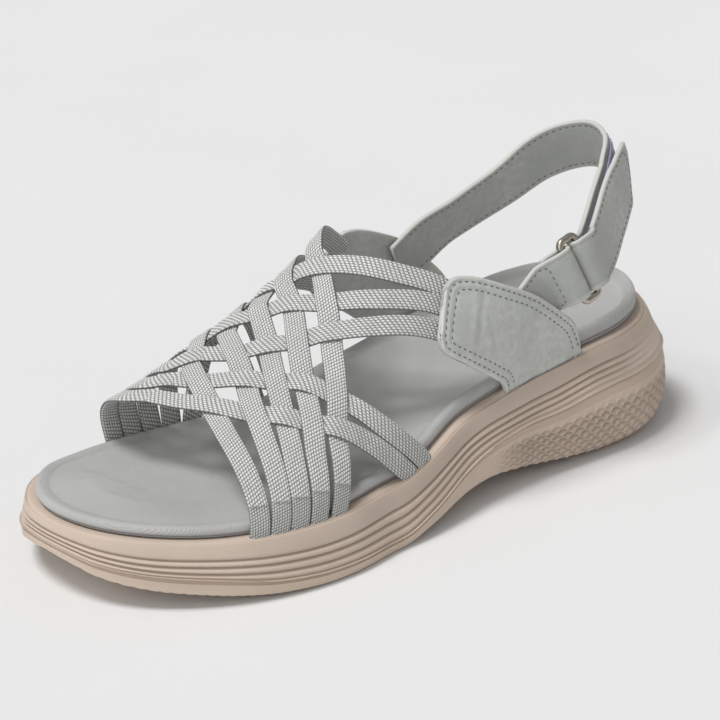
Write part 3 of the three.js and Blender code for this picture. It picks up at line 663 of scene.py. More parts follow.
def scales(run, at, share):
    """Depth of the scooped cells on the heel block, and the shade under their arched edges."""
    down = (share - BAND_SHARE) / (0.97 - BAND_SHARE) * CELL_ROWS
    row = np.floor(down)
    depth = np.zeros(np.broadcast(run, down).shape)
    shade = np.zeros(depth.shape)
    for near in (-2, -1, 0, 1):
        level = row + near
        across = run / CELL_WIDTH + 0.5 * (level % 2)
        aside = np.abs(across - np.round(across)) * 2
        arch, next_arch = np.sqrt(1 - aside**2), np.sqrt(1 - (1 - aside) ** 2)
        below = down - level - 1 + arch
        length = np.maximum(1 + arch - next_arch, 1e-6)
        inside = (below > 0) & (below < length)
        rest = inside * np.clip(1 - below / length, 0, 1)
        depth = np.maximum(depth, rest * smoothstep(below, 0, 0.35) * (length / 2) ** 0.7)
        shade = np.maximum(shade, inside * hump(below - 0.2, 0.42) * (length / 2) ** 0.35)
    fade = smoothstep(down, -0.3, 2.6) * smoothstep(at, 0.44, 0.34) * smoothstep(share, 0.99, 0.93)
    return depth * fade, shade * fade


def cross_grooves(at):
    """How deep the grooves across the tread are at each place, from 0 to 1."""
    cut = 0
    for start, end in TREAD_STRETCHES:
        away = (at - start) * FOOT_LENGTH
        near = np.abs(away - TREAD_PITCH * np.clip(np.round(away / TREAD_PITCH), 0, None))
        inside = (at > start - 0.01) & (at < end + 0.005)
        cut = np.maximum(cut, inside * smoothstep(near, TREAD_WIDTH * 0.62, TREAD_WIDTH * 0.38))
    return cut


def outsole():
    line = Feather(1400)
    at = line.at
    top, under, flare = side_height(at, side["lip"](at)), underside_height(at), side["flare"](at)
    tread = cross_grooves(at)
    place = at * FOOT_LENGTH / TOOTH_PITCH
    teeth = hump((place - np.round(place)) * TOOTH_PITCH, TOOTH_HALF) * (1 - hump(at - 0.44, 0.13))
    floor = under + TREAD_DEPTH * tread
    rings = [line.ring(flare * FOOT_SPREAD - inward, floor) for inward in (9, EDGE_CURL)]
    # Painted shade in the tread grooves
    shade = [TREAD_SHADE * tread] * len(rings)
    for share in np.r_[0.985, np.linspace(0.955, 0.12, 52), 0.09, 0.06, 0.03, 0.0]:
        lean = SOLE_SPREAD(share) + (BLOCK_SPREAD(share) - SOLE_SPREAD(share)) * side["block"](at)
        curl = max(share - CURL_SHARE, 0) / (1 - CURL_SHARE)
        lean = lean + curl * (FOOT_SPREAD - lean)
        inset = BAND_STEP * smoothstep(share, BAND_SHARE + 0.02, BAND_SHARE - 0.06)
        scoop, dim = scales(line.run, at, share)
        height = np.maximum(top + (under - top) * share, under + TOOTH_DEPTH * teeth)
        rings.append(line.ring(flare * lean - inset - EDGE_CURL * curl - CELL_DEPTH * scoop, height))
        # Painted shade under each cell's arched edge
        shade.append(CELL_SHADE * dim)
    rings.append(line.ring(flare * 0.8 - 3, top))
    shade.append(0)
    points, faces, painted_shade_and_edge_tone = stack(rings, shade, 10)
    piece("outsole_rubber", points, faces, BLOCK, ["outsole"], painted_shade_and_edge_tone=painted_shade_and_edge_tone)


# Footbed: a rolled rim round a bed that is cupped at the heel and raised under the arch. Each row has its
# distance inwards, its shares of the rim's height, the cup's dip and the arch, and a height of its own.
RIM_SHADE = 0.3
SEAM_PLACE = 2.3
bed_rows = table("inward height dip arch own", [
    (1.90, 0.00, 0.00, 0.00, SEAT_GAP - 0.1),
    (0.90, 0.00, 0.00, 0.00, 0.35),
    (0.30, 0.22, 0.00, 0.00, 0.00),
    (0.00, 0.50, 0.00, 0.00, 0.00),
    (0.35, 0.80, 0.00, 0.00, 0.00),
    (1.20, 0.97, 0.00, 0.00, 0.00),
    (2.20, 1.00, 0.00, 0.00, 0.00),
    (3.60, 1.00, 0.30, 0.00, -0.15),
    (4.80, 1.00, 0.62, 0.30, -0.50),
    (6.40, 1.00, 0.82, 0.50, -0.35),
    (11.0, 1.00, 1.00, 1.00, 0.00),
    (15.0, 1.00, 1.08, 0.88, 0.00),
    (19.0, 1.00, 1.15, 0.70, 0.00),
])


def footbed():
    line = Feather(760)
    at = line.at
    arch = np.where(line.sign < 0, arch_height(at), 0)
    measures = {"height": rim["height"](at), "dip": -rim["dip"](at), "arch": arch, "own": np.ones(len(at))}
    heights = sum(bed_rows[name][:, None] * measure for name, measure in measures.items())
    last = len(heights) - 1
    inward = through(np.arange(last + 1), bed_rows["inward"])
    rings, shade = [], []
    for place in np.linspace(0, last, 56):
        low = min(int(place), last - 1)
        before, after = max(low - 1, 0), min(low + 2, last)
        leave = (heights[low + 1] - heights[before]) / (low + 1 - before)
        arrive = (heights[after] - heights[low]) / (after - low)
        rise = hermite(place - low, heights[low], heights[low + 1], leave, arrive)
        seam = hump(place - SEAM_PLACE, 0.22)
        rings.append(line.ring(-LEDGE - inward(place) - 0.35 * seam, feather_height(at) + rise))
        # The footbed's dark seam line, and painted shade on the rolled rim
        shade.append(0.7 * seam + RIM_SHADE * smoothstep(place, 2.6, 1.6))
    points, faces, painted_shade_and_edge_tone = stack(rings, shade, 14)
    made = piece("footbed_cushion", points, faces, BED, ["footbed"], painted_shade_and_edge_tone=painted_shade_and_edge_tone)


# The foot form that the upper is built on
form = curves(table("at rise crown lateral medial", [
    (0.05, INSTEP_RISE * 1.75, 0.00, 2.4, 2.4),
    (0.20, INSTEP_RISE * 1.70, -0.01, 2.2, 2.2),
    (0.30, INSTEP_RISE * 1.58, -0.02, 2.0, 2.2),
    (0.40, INSTEP_RISE * 1.26, -0.05, 2.0, 2.2),
    (0.50, INSTEP_RISE, -0.10, 2.0, 2.3),
    (0.60, INSTEP_RISE * 0.79, -0.14, 2.0, 2.4),
    (0.70, INSTEP_RISE * 0.6, -0.17, 2.1, 2.4),
    (0.80, TOE_BOX * 1.29, -0.17, 2.2, 2.3),
    (0.90, TOE_BOX, -0.16, 2.3, 2.3),
]))


def form_point(at, turn):
    """A point of the foot form: turn runs from 0 at the outer feather line over the crown to 1."""
    at, turn = np.broadcast_arrays(np.asarray(at, float), np.asarray(turn, float))
    angle = np.pi * turn
    sign = np.where(np.cos(angle) >= 0, 1.0, -1.0)
    power = 2 / np.where(sign > 0, form["lateral"](at), form["medial"](at))
    crown = form["crown"](at) * BALL_WIDTH
    reach = np.abs(side_width(at, sign) - sign * FORM_INSET - crown)
    lift = np.sign(np.sin(angle)) * np.abs(np.sin(angle)) ** power
    return np.stack([
        (at - 0.5) * FOOT_LENGTH,
        crown + sign * reach * np.abs(np.cos(angle)) ** power,
        feather_height(at) + form["rise"](at) * lift,
    ], -1)


def form_normal(at, turn):
    step = 0.004
    forward = form_point(at + step, turn) - form_point(at - step, turn)
    around = form_point(at, turn + step) - form_point(at, turn - step)
    return unit(np.cross(around, forward))


# Woven straps: share along the foot at each turn, and the stretch that the strap covers
STRAP_TURNS = [0, 0.15, 0.3, 0.45, 0.6, 0.75, 1]
STRAPS = {
    "a1": (-0.03, 1.03, [0.818, 0.809, 0.792, 0.755, 0.692, 0.637, 0.575]),
    "a2": (-0.03, 1.03, [0.792, 0.776, 0.748, 0.694, 0.640, 0.595, 0.543]),
    "a3": (-0.03, 0.86, [0.765, 0.748, 0.709, 0.647, 0.585, 0.530, 0.380]),
    "a4": (-0.03, 0.83, [0.737, 0.716, 0.668, 0.602, 0.555, 0.508, 0.365]),
    "a5": (-0.03, 0.81, [0.705, 0.677, 0.616, 0.554, 0.512, 0.470, 0.345]),
    "b1": (-0.03, 1.03, [0.572, 0.650, 0.732, 0.788, 0.815, 0.808, 0.785]),
    "b2": (-0.03, 1.03, [0.543, 0.612, 0.668, 0.742, 0.782, 0.779, 0.757]),
    "b3": (0.14, 1.03, [0.370, 0.467, 0.563, 0.686, 0.745, 0.748, 0.729]),
    "b4": (0.17, 1.03, [0.360, 0.438, 0.524, 0.600, 0.685, 0.712, 0.701]),
    "b5": (0.19, 1.03, [0.340, 0.418, 0.492, 0.541, 0.600, 0.652, 0.673]),
}
ROUTES = {name: through(STRAP_TURNS, row[2]) for name, row in STRAPS.items()}
SEAM_HEIGHT = 11
WEAVE_PITCH = {"a": 1.25, "b": 1.6}
HEM_PITCH = 0.95
HEM_RIDGE = 0.28
HEM_SINK = 0.2
YARN_SWELL = 0.14
BEAT_SWELL = 0.08
WIDTH_WAVE = 0.015
FOOT_TAPER = 0.05


def crossing(one, other):
    """The turn at which two straps cross."""
    turns = np.linspace(0, 1, 2001)
    gap = ROUTES[one](turns) - ROUTES[other](turns)
    return turns[np.argmax(np.sign(gap) != np.sign(gap[0]))]


def weave_curve(name):
    """How far a strap rises or dips as it goes over and under the other set."""
    others = [other for other in STRAPS if other[0] != name[0]]
    knots = []
    for other in others:
        over = "b" if (int(name[1]) + int(other[1])) % 2 == 0 else "a"
        knots.append((crossing(name, other), WEAVE_LIFT if name[0] == over else -WEAVE_LIFT))
    knots.sort()
    lead = 0.06
    knots = [(knots[0][0] - lead, 0), *knots, (knots[-1][0] + lead, 0)]
    return through(*zip(*knots))


def strap_line(name, step):
    """Places and outward directions along a strap, at even steps."""
    start, end, _ = STRAPS[name]
    turn = np.linspace(start, end, 900)
    at = ROUTES[name](turn)
    out = form_normal(at, turn)
    place = form_point(at, turn) + out * (STRAP_WALL / 2 + WEAVE_LIFT / 4 + weave_curve(name)(turn))[:, None]
    shown = place[:, 2] > feather_height(at) - 1.2
    return resample(place[shown], step, out[shown])


def webbing(name):
    """One woven strap with its rows of yarn raised."""
    place, out = strap_line(name, 0.36)
    run = run_of(place)
    sewn = name[0] == "a"
    hem = sewn * smoothstep(run, SEAM_HEIGHT + 0.5, SEAM_HEIGHT - 0.5)
    pitch = WEAVE_PITCH[name[0]] * (1 - hem) + HEM_PITCH * hem
    # Painted shadow: darker over the front straps' hem and towards the foot of the back straps
    shadow = hem if sewn else 0.7 * smoothstep(run, 45, 10)
    phase = np.cumsum(np.r_[0, np.diff(run)] / pitch)
    heading = along(place)
    across = unit(np.cross(out, heading))
    up = np.cross(heading, across)
    top = np.linspace(-1, 1, YARN_ROWS * 4 + 1)
    bottom = np.linspace(1, -1, 9)[1:-1]
    u = np.r_[top, bottom]
    is_top = np.r_[np.ones(len(top)), np.zeros(len(bottom))]
    dome = np.sqrt(np.clip(1 - np.abs(u) ** 6, 0, 1))
    row = (u + 1) / 2 * YARN_ROWS
    yarn = 1 - (2 * (row % 1) - 1) ** 2
    step = ROW_STEP * np.floor(np.clip(row, 0, YARN_ROWS - 0.01)) + DASH_SLANT * (row % 1)
    beat = -np.cos(2 * np.pi * (phase[:, None] + step[None]))
    relief = is_top * dome * (YARN_SWELL * yarn + BEAT_SWELL * beat * yarn)
    height = np.where(is_top > 0, 1, -1) * dome * (STRAP_WALL / 2 - 0.12) + relief
    ridge = sewn * HEM_RIDGE * hump(run - SEAM_HEIGHT, 0.45) - HEM_SINK * hem
    height = height + is_top * ridge[:, None] * dome
    swell = 1 - WIDTH_WAVE * (1 - np.sin(run / 9)) - FOOT_TAPER * smoothstep(run, 32, 8)
    sections = (
        place[:, None]
        + across[:, None] * (u[None] * STRAP_WIDTH / 2 * swell[:, None])[..., None]
        + up[:, None] * height[..., None]
    )
    chart = np.stack(np.broadcast_arrays(phase[:, None], row[None], shadow[:, None]), -1).reshape(-1, 3)
    points, faces = tube(sections)
    chart = np.vstack([chart, chart[:1], chart[-1:]])
    piece("strap_" + name, points, faces, WEBBING, ["woven_upper"], thread=chart)


# Sewing: copies of one small stitch, laid on the surface of a finished piece
def stitch_shape(length, radius):
    sides = 6
    x = np.array([-1, -0.8, -0.35, 0.35, 0.8, 1])
    girth = np.array([0.35, 0.85, 1, 1, 0.85, 0.35])
    rise = np.array([-0.7, -0.1, 0.25, 0.25, -0.1, -0.7])
    turn = 2 * np.pi * np.arange(sides) / sides
    points = [
        (x[k] * length / 2, np.cos(a) * girth[k] * radius, (np.sin(a) * girth[k] + rise[k]) * radius)
        for k in range(len(x))
        for a in turn
    ]
    faces = grid_faces(len(x), sides)
    faces += [list(range(sides)), list(range(len(points) - sides, len(points)))]
    return np.array(points), faces


def sew(name, lines, cloth, pitch=2.55, length=1.5, radius=0.27, sink=0.1, look=None, slot="quarter_leather"):
    """Rows of stitches along lines, each stitch laid flat on the cloth's own surface."""
    mesh = cloth.data
    tree = BVHTree.FromPolygons([v.co for v in mesh.vertices], [p.vertices for p in mesh.polygons])
    places, axes = [], []
    for line in lines:
        even = resample(np.asarray(line), pitch)[0]
        middle = (even[1:] + even[:-1]) / 2
        ahead = unit(even[1:] - even[:-1])
        for point, direction in zip(middle, ahead):
            spot, normal, _, _ = tree.find_nearest(Vector((point + SHIFT) * MM))
            normal = np.array(normal)
            direction = unit(direction - normal * (direction @ normal))
            places.append(np.array(spot) / MM - SHIFT - normal * sink)
            axes.append([direction, np.cross(normal, direction), normal])
    template, faces = stitch_shape(length, radius)
    points, joined = scatter(template, faces, np.array(places), np.array(axes))
    return piece(name, points, joined, look or THREAD)


def hem_seams():
    """The seam across the foot of each front strap."""
    for name in ("a1", "a2", "a3", "a4", "a5"):
        place, out = strap_line(name, 0.5)
        spot = int(np.argmin(np.abs(run_of(place) - SEAM_HEIGHT)))
        across = unit(np.cross(out[spot], along(place)[spot]))
        reach = STRAP_WIDTH / 2 - 0.5
        middle = place[spot] + out[spot] * STRAP_WALL / 2
        line = [middle - across * reach, middle + across * reach]
        cloth = bpy.data.objects["strap_" + name]
        size = {"pitch": 1.2, "length": 1.15, "radius": 0.2, "sink": 0.02}
        sew("hem_" + name, [line], cloth, **size, look=PALE_THREAD, slot="webbing")


# Leather quarters: curved panels over the strap ends that come down to the sole
quarter = curves(table("down low_at low_turn top_at top_turn", [
    (0.00, 0.495, 0.157, 0.450, 0.229),
    (0.15, 0.481, 0.126, 0.418, 0.199),
    (0.40, 0.447, 0.080, 0.354, 0.130),
    (0.70, 0.405, 0.036, 0.275, 0.063),
    (0.90, 0.378, 0.008, 0.232, 0.020),
    (1.00, 0.368, -0.030, 0.217, -0.030),
]), "down")
QUARTER_LIFT = STRAP_WALL + WEAVE_LIFT / 4 + SEAT_GAP * 2.5
STITCH_INSETS = (1.9, 4.4)
CORNER_DOWN = 0.085
CORNER_SHARE = 0.2
PUFF = 0.16
CREASES = table("down share turn length depth", [
    (0.30, 0.55, 0.55, 11.0, 0.30),
    (0.46, 0.38, 0.75, 9.0, 0.22),
    (0.62, 0.66, 0.35, 12.0, 0.20),
    (0.20, 0.30, 0.90, 7.0, 0.16),
])


def quarter_turn(down, share, sign):
    outer = quarter["low_turn"](down) * (1 - share) + quarter["top_turn"](down) * share
    return outer if sign > 0 else 1 - outer


def quarter_place(down, share, sign):
    at = quarter["low_at"](down) * (1 - share) + quarter["top_at"](down) * share
    turn = quarter_turn(down, share, sign)
    return form_point(at, turn), form_normal(at, turn)


def crease_relief(base, sign):
    """Soft troughs, each with a ridge beside it."""
    relief = 0
    for down, share, turn, length, depth in zip(*CREASES.values()):
        middle = quarter_place(down, share, sign)[0]
        ahead = unit(quarter_place(down + 0.02, share, sign)[0] - middle)
        aside = unit(quarter_place(down, share + 0.02, sign)[0] - middle)
        x, y = (base - middle) @ ahead, (base - middle) @ aside
        cos, sin = math.cos(turn * math.pi), math.sin(turn * math.pi)
        long, wide = x * cos + y * sin, y * cos - x * sin
        relief = relief - depth * hump(long, length) * (hump(wide, 1.5) - 0.7 * hump(wide - 2.6, 1.6))
    return relief


def strap_relief(base, down, share, sign):
    """How a quarter rises over the ends of the three straps that it holds."""
    turn = quarter_turn(down, share, sign)
    relief = 0
    for strap in ("b3", "b4", "b5") if sign > 0 else ("a3", "a4", "a5"):
        off = (base[..., 0] / FOOT_LENGTH + 0.5 - ROUTES[strap](turn)) * FOOT_LENGTH
        relief = relief + 0.22 * hump(off, 4.5) * smoothstep(down, 0.5, 0.1)
    return relief


def quarter_panel(sign, name, node):
    rows, columns = 136, 84
    down = np.linspace(0, 1, rows)[:, None] ** 1.15
    even = np.linspace(0, 1, columns)[None]
    even = even - 0.035 * np.sin(4 * np.pi * even)
    bend = np.clip(1 - down / CORNER_DOWN, 0, 1)
    inset = CORNER_SHARE * (1 - np.sqrt(np.clip(1 - bend**2, 0, 1)))
    share = inset + (1 - 2 * inset) * even
    down = down + 0 * share
    base, out = quarter_place(down, share, sign)
    foot = feather_height(base[..., 0] / FOOT_LENGTH + 0.5) - 0.6
    lift = QUARTER_LIFT + (SEAT_GAP - QUARTER_LIFT) * smoothstep(down, 0.72, 0.95)
    border = np.vstack([base[::-1, 0], base[0], base[:, -1]])
    flat = base.reshape(-1, 3)
    edge = np.min(np.linalg.norm(flat[:, None] - border[None, ::2], axis=-1), axis=1).reshape(down.shape)
    rounding = round_over(edge)
    puff = PUFF * smoothstep(edge, STITCH_INSETS[1], 9)
    for inset_mm in STITCH_INSETS:
        puff = puff - PUFF * hump(edge - inset_mm, 0.42)
    puff = puff + 0.1 * hump(edge - 3.15, 0.55) + 0.12 * hump(edge - 0.9, 0.5)
    puff = puff + crease_relief(base, sign) + strap_relief(base, down, share, sign)
    outer_skin = base + out * (lift + LEATHER_WALL * (0.3 + 0.7 * rounding) + puff * rounding)[..., None]
    inner_skin = base + out * (lift + 0.25 * (1 - rounding))[..., None]
    for skin in (outer_skin, inner_skin):
        skin[..., 2] = np.maximum(skin[..., 2], foot)
    count = rows * columns
    points = np.vstack([outer_skin.reshape(-1, 3), inner_skin.reshape(-1, 3)])
    faces = grid_faces(rows, columns, wrap=False)
    faces += [[k + count for k in face] for face in faces]
    index = np.arange(count).reshape(rows, columns)
    loop = np.concatenate([index[0], index[1:, -1], index[-1, -2::-1], index[-2:0:-1, 0]]).tolist()
    faces += [[a, b, b + count, a + count] for a, b in zip(loop, loop[1:] + loop[:1])]
    pale = 0.75 * hump(edge, 0.8).ravel()
    made = piece(name, points, faces, QUARTER, [node], painted_shade_and_edge_tone=np.r_[pale, pale])
    lines = [stitch_line(edge, outer_skin, inset_mm) for inset_mm in STITCH_INSETS]
    sew(name + "_stitches", lines, made)


def stitch_line(edge, skin, inset):
    """The line on a panel's face at an inset from its sides and its top."""
    rows, columns = edge.shape

    def at_inset(depths, points):
        first = int(np.argmax(depths > inset))
        share = (inset - depths[first - 1]) / (depths[first] - depths[first - 1])
        return first, points[first - 1] * (1 - share) + points[first] * share

    start = int(np.argmax(edge[:, columns // 2] > inset)) + 2
    left = [at_inset(edge[row], skin[row]) for row in range(start, rows)]
    right = [at_inset(edge[row, ::-1], skin[row, ::-1]) for row in range(start, rows)]
    between = range(left[0][0], columns - right[0][0])
    top = [at_inset(edge[:, column], skin[:, column])[1] for column in between]
    line = np.array([*[point for _, point in left[::-1]], *top, *[point for _, point in right]])
    foot = feather_height(line[:, 0] / FOOT_LENGTH + 0.5) + 1.0
    return line[line[:, 2] > foot]


# The strap's route round the ankle
def catmull(points):
    """A centripetal curve through points, sampled finely."""
    points = np.array([2 * points[0] - points[1], *points, 2 * points[-1] - points[-2]])
    t = np.linspace(0, 1, 80, endpoint=False)[:, None]
    made = []
    for p0, p1, p2, p3 in zip(points, points[1:], points[2:], points[3:]):
        d0, d1, d2 = (math.sqrt(np.linalg.norm(b - a)) for a, b in ((p0, p1), (p1, p2), (p2, p3)))
        leave = ((p1 - p0) / d0 - (p2 - p0) / (d0 + d1) + (p2 - p1) / d1) * d1
        arrive = ((p2 - p1) / d1 - (p3 - p1) / (d1 + d2) + (p3 - p2) / d2) * d1
        made.append(hermite(t, p1, p2, leave, arrive))
    return np.vstack([*made, points[-2:-1]])


ankle_rows = np.array([
    (0.231, 1.060, 0.726),
    (0.192, 0.925, 0.745),
    (0.158, 0.793, 0.818),
    (0.108, 0.567, 0.923),
    (0.080, 0.354, 0.984),
    (0.069, 0.064, 1.000),
    (0.080, -0.210, 0.980),
    (0.104, -0.470, 0.928),
    (0.147, -0.670, 0.836),
    (0.206, -0.790, 0.763),
])
ankle_line = catmull([
    form_point(0.342, 0.063),
    form_point(0.286, 0.090),
    *((ankle_rows - [0.5, 0, 0]) * [FOOT_LENGTH, ANKLE_HALF, ANKLE_HEIGHT]),
    form_point(0.284, 0.914),
    form_point(0.343, 0.925),
])
ankle_steps = run_of(ankle_line)
ANKLE_RUN = ankle_steps[-1]
SKIN_LIFT = LEATHER_WALL / 2
FOLD_RADIUS = RING_WIRE / 2 + SEAT_GAP + LEATHER_WALL / 2
BAR_OFFSET = FOLD_RADIUS + LEATHER_WALL / 2 + RING_PLAY / 2
RING_LIFT = SKIN_LIFT + FOLD_RADIUS


def ankle_frame(distance):
    """Place, direction and outward direction of the route at distances from its outer end."""
    distance = np.clip(np.asarray(distance, float), 0, ANKLE_RUN)
    before, place, after = (
        pick(np.clip(distance + step, 0, ANKLE_RUN), ankle_steps, ankle_line) for step in (-0.8, 0, 0.8)
    )
    heading = unit(after - before)
    flat = unit(np.cross(heading, [0.0, 0.0, 1.0]))
    ends = np.minimum(distance, ANKLE_RUN - distance)
    free = smoothstep(ends, RING_PLACE * 0.4, RING_PLACE)
    tilt = np.radians(QUARTER_TILT + (ANKLE_TILT - QUARTER_TILT) * free)[..., None]
    out = flat * np.cos(tilt) - np.cross(heading, flat) * np.sin(tilt)
    return place, heading, out


def strap_frame(distance):
    """The same, but straight along the ring's own direction close to the ring."""
    place, heading, out = ankle_frame(distance)
    ring_place, ring_heading, ring_out = ankle_frame(RING_PLACE)
    beyond = np.asarray(distance, float) - RING_PLACE
    near = (1 - smoothstep(np.abs(beyond), BAR_OFFSET, BAR_OFFSET + FOLD_RADIUS * 2.5))[:, None]
    straight = ring_place + ring_heading * beyond[:, None]
    return (
        place * (1 - near) + straight * near,
        unit(heading * (1 - near) + ring_heading * near),
        unit(out * (1 - near) + ring_out * near),
    )


def fold(bar, turn):
    """A half turn round a bar of the ring, as distances and lifts."""
    angle = np.pi * np.linspace(0, 1, 25)
    return np.column_stack([
        bar + turn * np.sin(angle) * FOLD_RADIUS,
        RING_LIFT + turn * np.cos(angle) * FOLD_RADIUS,
    ])


def stretch(start, end, lift, step=0.7):
    """A straight run between two distances, at one lift or at a lift that follows a curve."""
    distance = np.linspace(start, end, int(abs(end - start) / step) + 1)
    lifts = lift(distance) if callable(lift) else lift + 0 * distance
    return np.column_stack([distance, lifts])


def leather_band(name, route, wall, width, shift, look, node, seams=(1.9,)):
    """A leather strap along a route, with rounded edges and channels for its stitches."""
    kept = np.r_[True, np.linalg.norm(np.diff(route, axis=0), axis=1) > 1e-3]
    route, width, shift = route[kept], width[kept], shift[kept]
    place, heading, out = strap_frame(route[:, 0])
    turn = along(route)
    place = place + out * route[:, 1:2]
    ahead = heading * turn[:, :1] + out * turn[:, 1:]
    up = out * turn[:, :1] - heading * turn[:, 1:]
    across = np.cross(up, ahead)
    half = width / 2
    u = np.sin(np.linspace(-1, 1, 41) * np.pi / 2)
    u = 0.55 * u + 0.45 * np.linspace(-1, 1, 41)
    aside = u[None] * half[:, None]
    edge = half[:, None] - np.abs(aside)
    rounding = round_over(edge)
    relief = 0.1 * smoothstep(edge, 2.0, 5.0)
    for seam in seams:
        relief = relief - 0.14 * hump(edge - seam, 0.4)
    top = wall / 2 * rounding + relief * rounding
    low = -wall / 2 * rounding
    sides = np.concatenate([top, low[:, -2:0:-1]], axis=1)
    offsets = np.concatenate([aside, aside[:, -2:0:-1]], axis=1) + shift[:, None]
    sections = place[:, None] + across[:, None] * offsets[..., None] + up[:, None] * sides[..., None]
    points, faces = tube(sections)
    pale = np.concatenate([hump(edge, 0.7), hump(edge, 0.7)[:, -2:0:-1]], axis=1).ravel() * 0.8
    made = piece(name, points, faces, look, [node], painted_shade_and_edge_tone=np.r_[pale, 1.0, 1.0])
    lines = {
        seam: [place + across * ((s * (half - seam)) + shift)[:, None] + up * wall / 2 for s in (-1, 1)]
        for seam in seams
    }
    return made, route, lines


CROSS_ROW = 8.5


def ring_tab():
    """The tab that holds the ring: out from under the quarter, round the front bar and back."""
    bar = RING_PLACE - BAR_OFFSET
    inner_end = bar - TAB_OVERLAP
    top = through(
        [0, inner_end - LEATHER_WALL * 2, inner_end - SEAT_GAP, bar - RING_WIRE, bar],
        [SKIN_LIFT, SKIN_LIFT, SKIN_LIFT + LEATHER_WALL + SEAT_GAP * 1.4, *[SKIN_LIFT + FOLD_RADIUS * 2] * 2],
    )
    outer = stretch(LEATHER_WALL, bar, top)
    route = np.vstack([outer, fold(bar, 1), stretch(bar, inner_end, SKIN_LIFT)])
    slim = smoothstep(route[:, 0], RING_PLACE * 0.15, RING_PLACE * 0.7)
    width = TAB_WIDTH * (TAB_FLARE + (1 - TAB_FLARE) * slim)
    made, route, lines = leather_band(
        "ring_tab_leather", route, LEATHER_WALL, width, 0 * width, STRAP, "ring_tab"
    )
    last = int(np.argmin(np.abs(route[: len(outer), 0] - (RING_PLACE - CROSS_ROW))))
    low, high = (line[4:last] for line in lines[1.9])
    box = np.vstack([low, high[::-1]])
    sew("ring_tab_stitches", [box], made, slot="strap_leather")


def heel_strap():
    """The strap round the heel, through the ring and folded back as a closure tab."""
    bar = RING_PLACE + BAR_OFFSET
    tip = RING_PLACE + CLOSURE_LENGTH
    clear = SKIN_LIFT + LEATHER_WALL + TAPE_WALL + SEAT_GAP * 4
    rise = through(
        [bar, bar + RING_WIRE, bar + CLOSURE_LENGTH * 0.25, bar + CLOSURE_LENGTH * 0.55, tip],
        [*[SKIN_LIFT + FOLD_RADIUS * 2] * 2, *[clear + CLOSURE_RISE * 0.35] * 2, clear + CLOSURE_RISE],
    )
    under = stretch(ANKLE_RUN - LEATHER_WALL, bar, SKIN_LIFT)
    turn = fold(bar, -1)
    closure = stretch(bar, tip, rise, 0.5)
    route = np.vstack([under, turn, closure])
    place = np.clip((np.arange(len(route)) - len(under) - len(turn)) / (len(closure) - 1), 0, 1)
    width = TAB_WIDTH * through([0, 0.72, 0.86, 0.96, 1], [1, 1.08, 0.80, 0.48, 0.3])(place)
    shift = TAB_WIDTH * through([0, 0.72, 0.86, 1], [0, 0, 0.1, 0.24])(place)
    made, route, lines = leather_band(
        "heel_strap_leather", route, LEATHER_WALL, width, shift, STRAP, "heel_strap"
    )
    low, high = lines[1.9]
    start = len(under) + len(turn) + 4
    tab = np.vstack([low[start:-6], high[start:-6][::-1]])
    sew("closure_stitches", [tab], made, slot="strap_leather")
    back = slice(12, len(under) - 30)
    outer = [line[back] for line in (low, high)]
    sew("heel_strap_stitches", outer, made, slot="strap_leather")


def loop_tape():
    """Loop tape on the heel strap under the tab, with its small standing loops."""
    lift = SKIN_LIFT + LEATHER_WALL / 2 + SEAT_GAP * 0.2 + TAPE_WALL / 2
    start = RING_PLACE + BAR_OFFSET + FOLD_RADIUS
    route = stretch(start, start + TAPE_LENGTH, lift)
    width = np.full(len(route), TAPE_WIDTH)
    made, route, _ = leather_band(
        "loop_tape_cloth", route, TAPE_WALL, width, 0 * width, TAPE, "loop_tape", ()
    )
    draws = np.random.default_rng(7)
    count = 1300
    distance = start + TAPE_LENGTH * draws.uniform(0.01, 0.99, count)
    place, heading, out = strap_frame(distance)
    across = np.cross(out, heading)
    aside = TAPE_WIDTH * draws.uniform(-0.48, 0.48, count)
    place = place + across * aside[:, None] + out * (lift + TAPE_WALL / 2 - 0.05)
    turn = draws.uniform(0, np.pi, count)[:, None]
    ahead = heading * np.cos(turn) + across * np.sin(turn)
    angle = np.linspace(0, np.pi, 6)
    loop = []
    for a in angle:
        for b in range(3):
            r = 0.38 + 0.07 * math.cos(2 * math.pi * b / 3)
            loop.append((math.cos(a) * r, 0.07 * math.sin(2 * math.pi * b / 3), math.sin(a) * r * 1.2))
    axes = np.stack([ahead, np.cross(out, ahead), out], 1)
    faces = grid_faces(len(angle), 3) + [[0, 1, 2], [15, 16, 17]]
    points, joined = scatter(np.array(loop), faces, place, axes)
    piece("tape_loops", points, joined, TAPE)


def slot_ring():
    """The ring: a rounded rectangle of round wire that lies along the strap's width."""
    place, heading, out = ankle_frame(RING_PLACE)
    across = np.cross(out, heading)
    centre = place + out * RING_LIFT
    half_long = TAB_WIDTH / 2 + RING_PLAY + RING_WIRE / 2 - RING_CORNER
    half_wide = BAR_OFFSET - RING_CORNER
    sides = 20
    turn = 2 * np.pi * np.arange(sides)[:, None] / sides
    wire = RING_WIRE / 2
    sections = []
    for corner, (sign_long, sign_wide) in enumerate(((1, 1), (-1, 1), (-1, -1), (1, -1))):
        bend = centre + across * sign_long * half_long + heading * sign_wide * half_wide
        for angle in np.pi / 2 * (corner + np.linspace(0, 1, 14)):
            radial = across * math.cos(angle) + heading * math.sin(angle)
            spine = bend + radial * RING_CORNER
            sections.append(spine + radial * np.cos(turn) * wire + out * np.sin(turn) * wire)
    faces = grid_faces(len(sections), sides, ring=True)
    piece("slot_ring", np.vstack(sections), faces, NICKEL, ["ring"])


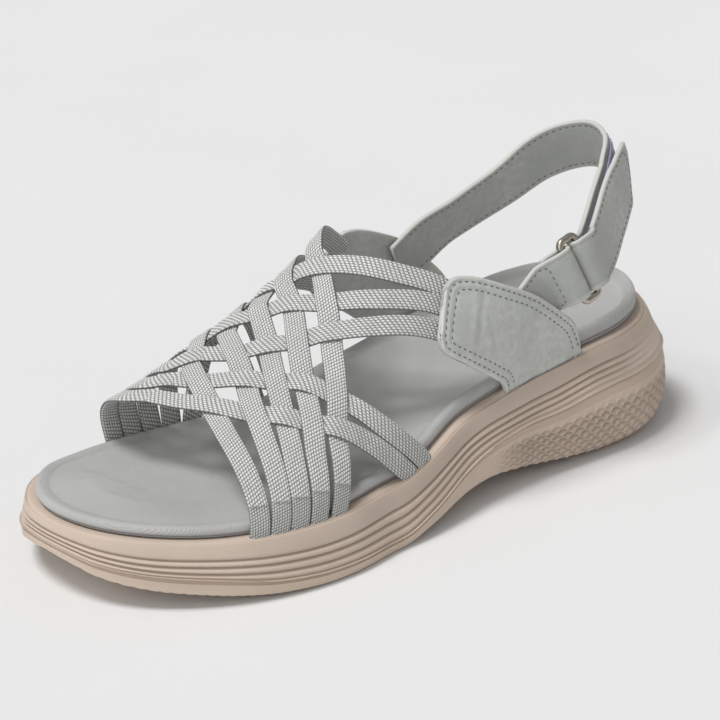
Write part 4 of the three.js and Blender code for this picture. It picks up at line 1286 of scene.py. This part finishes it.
# Floor, light and camera
def stage():
    mesh = bpy.data.meshes.new("floor")
    reach = 60.0
    corners = [(-reach, -reach, 0), (reach, -reach, 0), (reach, reach, 0), (-reach, reach, 0)]
    mesh.from_pydata(corners, [], [(0, 1, 2, 3)])
    mesh.materials.append(floor_look("floor_paint"))
    floor = bpy.data.objects.new("floor", mesh)
    bpy.context.scene.collection.objects.link(floor)


def lamp(name, place, spread, power):
    """A broad even light that shines from a direction."""
    light = bpy.data.lights.new(name, "SUN")
    light.angle = math.radians(spread)
    light.energy = power
    made = bpy.data.objects.new(name, light)
    made.location = place
    made.rotation_mode = "QUATERNION"
    made.rotation_quaternion = (-Vector(place)).to_track_quat("-Z", "Y")
    bpy.context.scene.collection.objects.link(made)


def lights():
    world = bpy.data.worlds.new("studio")
    world.use_nodes = True
    world.node_tree.nodes["Background"].inputs["Color"].default_value = (1, 1, 1, 1)
    world.node_tree.nodes["Background"].inputs["Strength"].default_value = 0.32
    bpy.context.scene.world = world
    lamp("key", (0.8, -0.2, 2.0), 22, 2.1)
    lamp("fill", (1.7, 0.8, 1.0), 60, 0.75)


def camera():
    az, el, roll = (math.radians(angle) for angle in (AZIMUTH, ELEVATION, ROLL))
    back = np.array([math.sin(az) * math.cos(el), -math.cos(az) * math.cos(el), math.sin(el)])
    right = unit(np.cross([0, 0, 1], back))
    up = np.cross(back, right)
    aim = right * AIM_RIGHT + np.array([0, 0, AIM_HEIGHT]) + SHIFT
    place = (aim + back * DISTANCE) * MM
    x = math.cos(roll) * right + math.sin(roll) * up
    y = -math.sin(roll) * right + math.cos(roll) * up
    data = bpy.data.cameras.new("camera")
    data.sensor_width = 36
    data.lens = LENS
    made = bpy.data.objects.new("camera", data)
    turn = Matrix(np.column_stack([x, y, back]).tolist()).to_4x4()
    made.matrix_world = Matrix.Translation(place) @ turn
    bpy.context.scene.collection.objects.link(made)
    bpy.context.scene.camera = made
    bpy.context.scene.view_settings.view_transform = "Standard"


camera()
lights()
stage()
outsole()
midsole()
footbed()
for strap_name in STRAPS:
    webbing(strap_name)
hem_seams()
quarter_panel(1, "lateral_panel", "lateral_quarter")
quarter_panel(-1, "medial_panel", "medial_quarter")
ring_tab()
slot_ring()
heel_strap()
loop_tape()
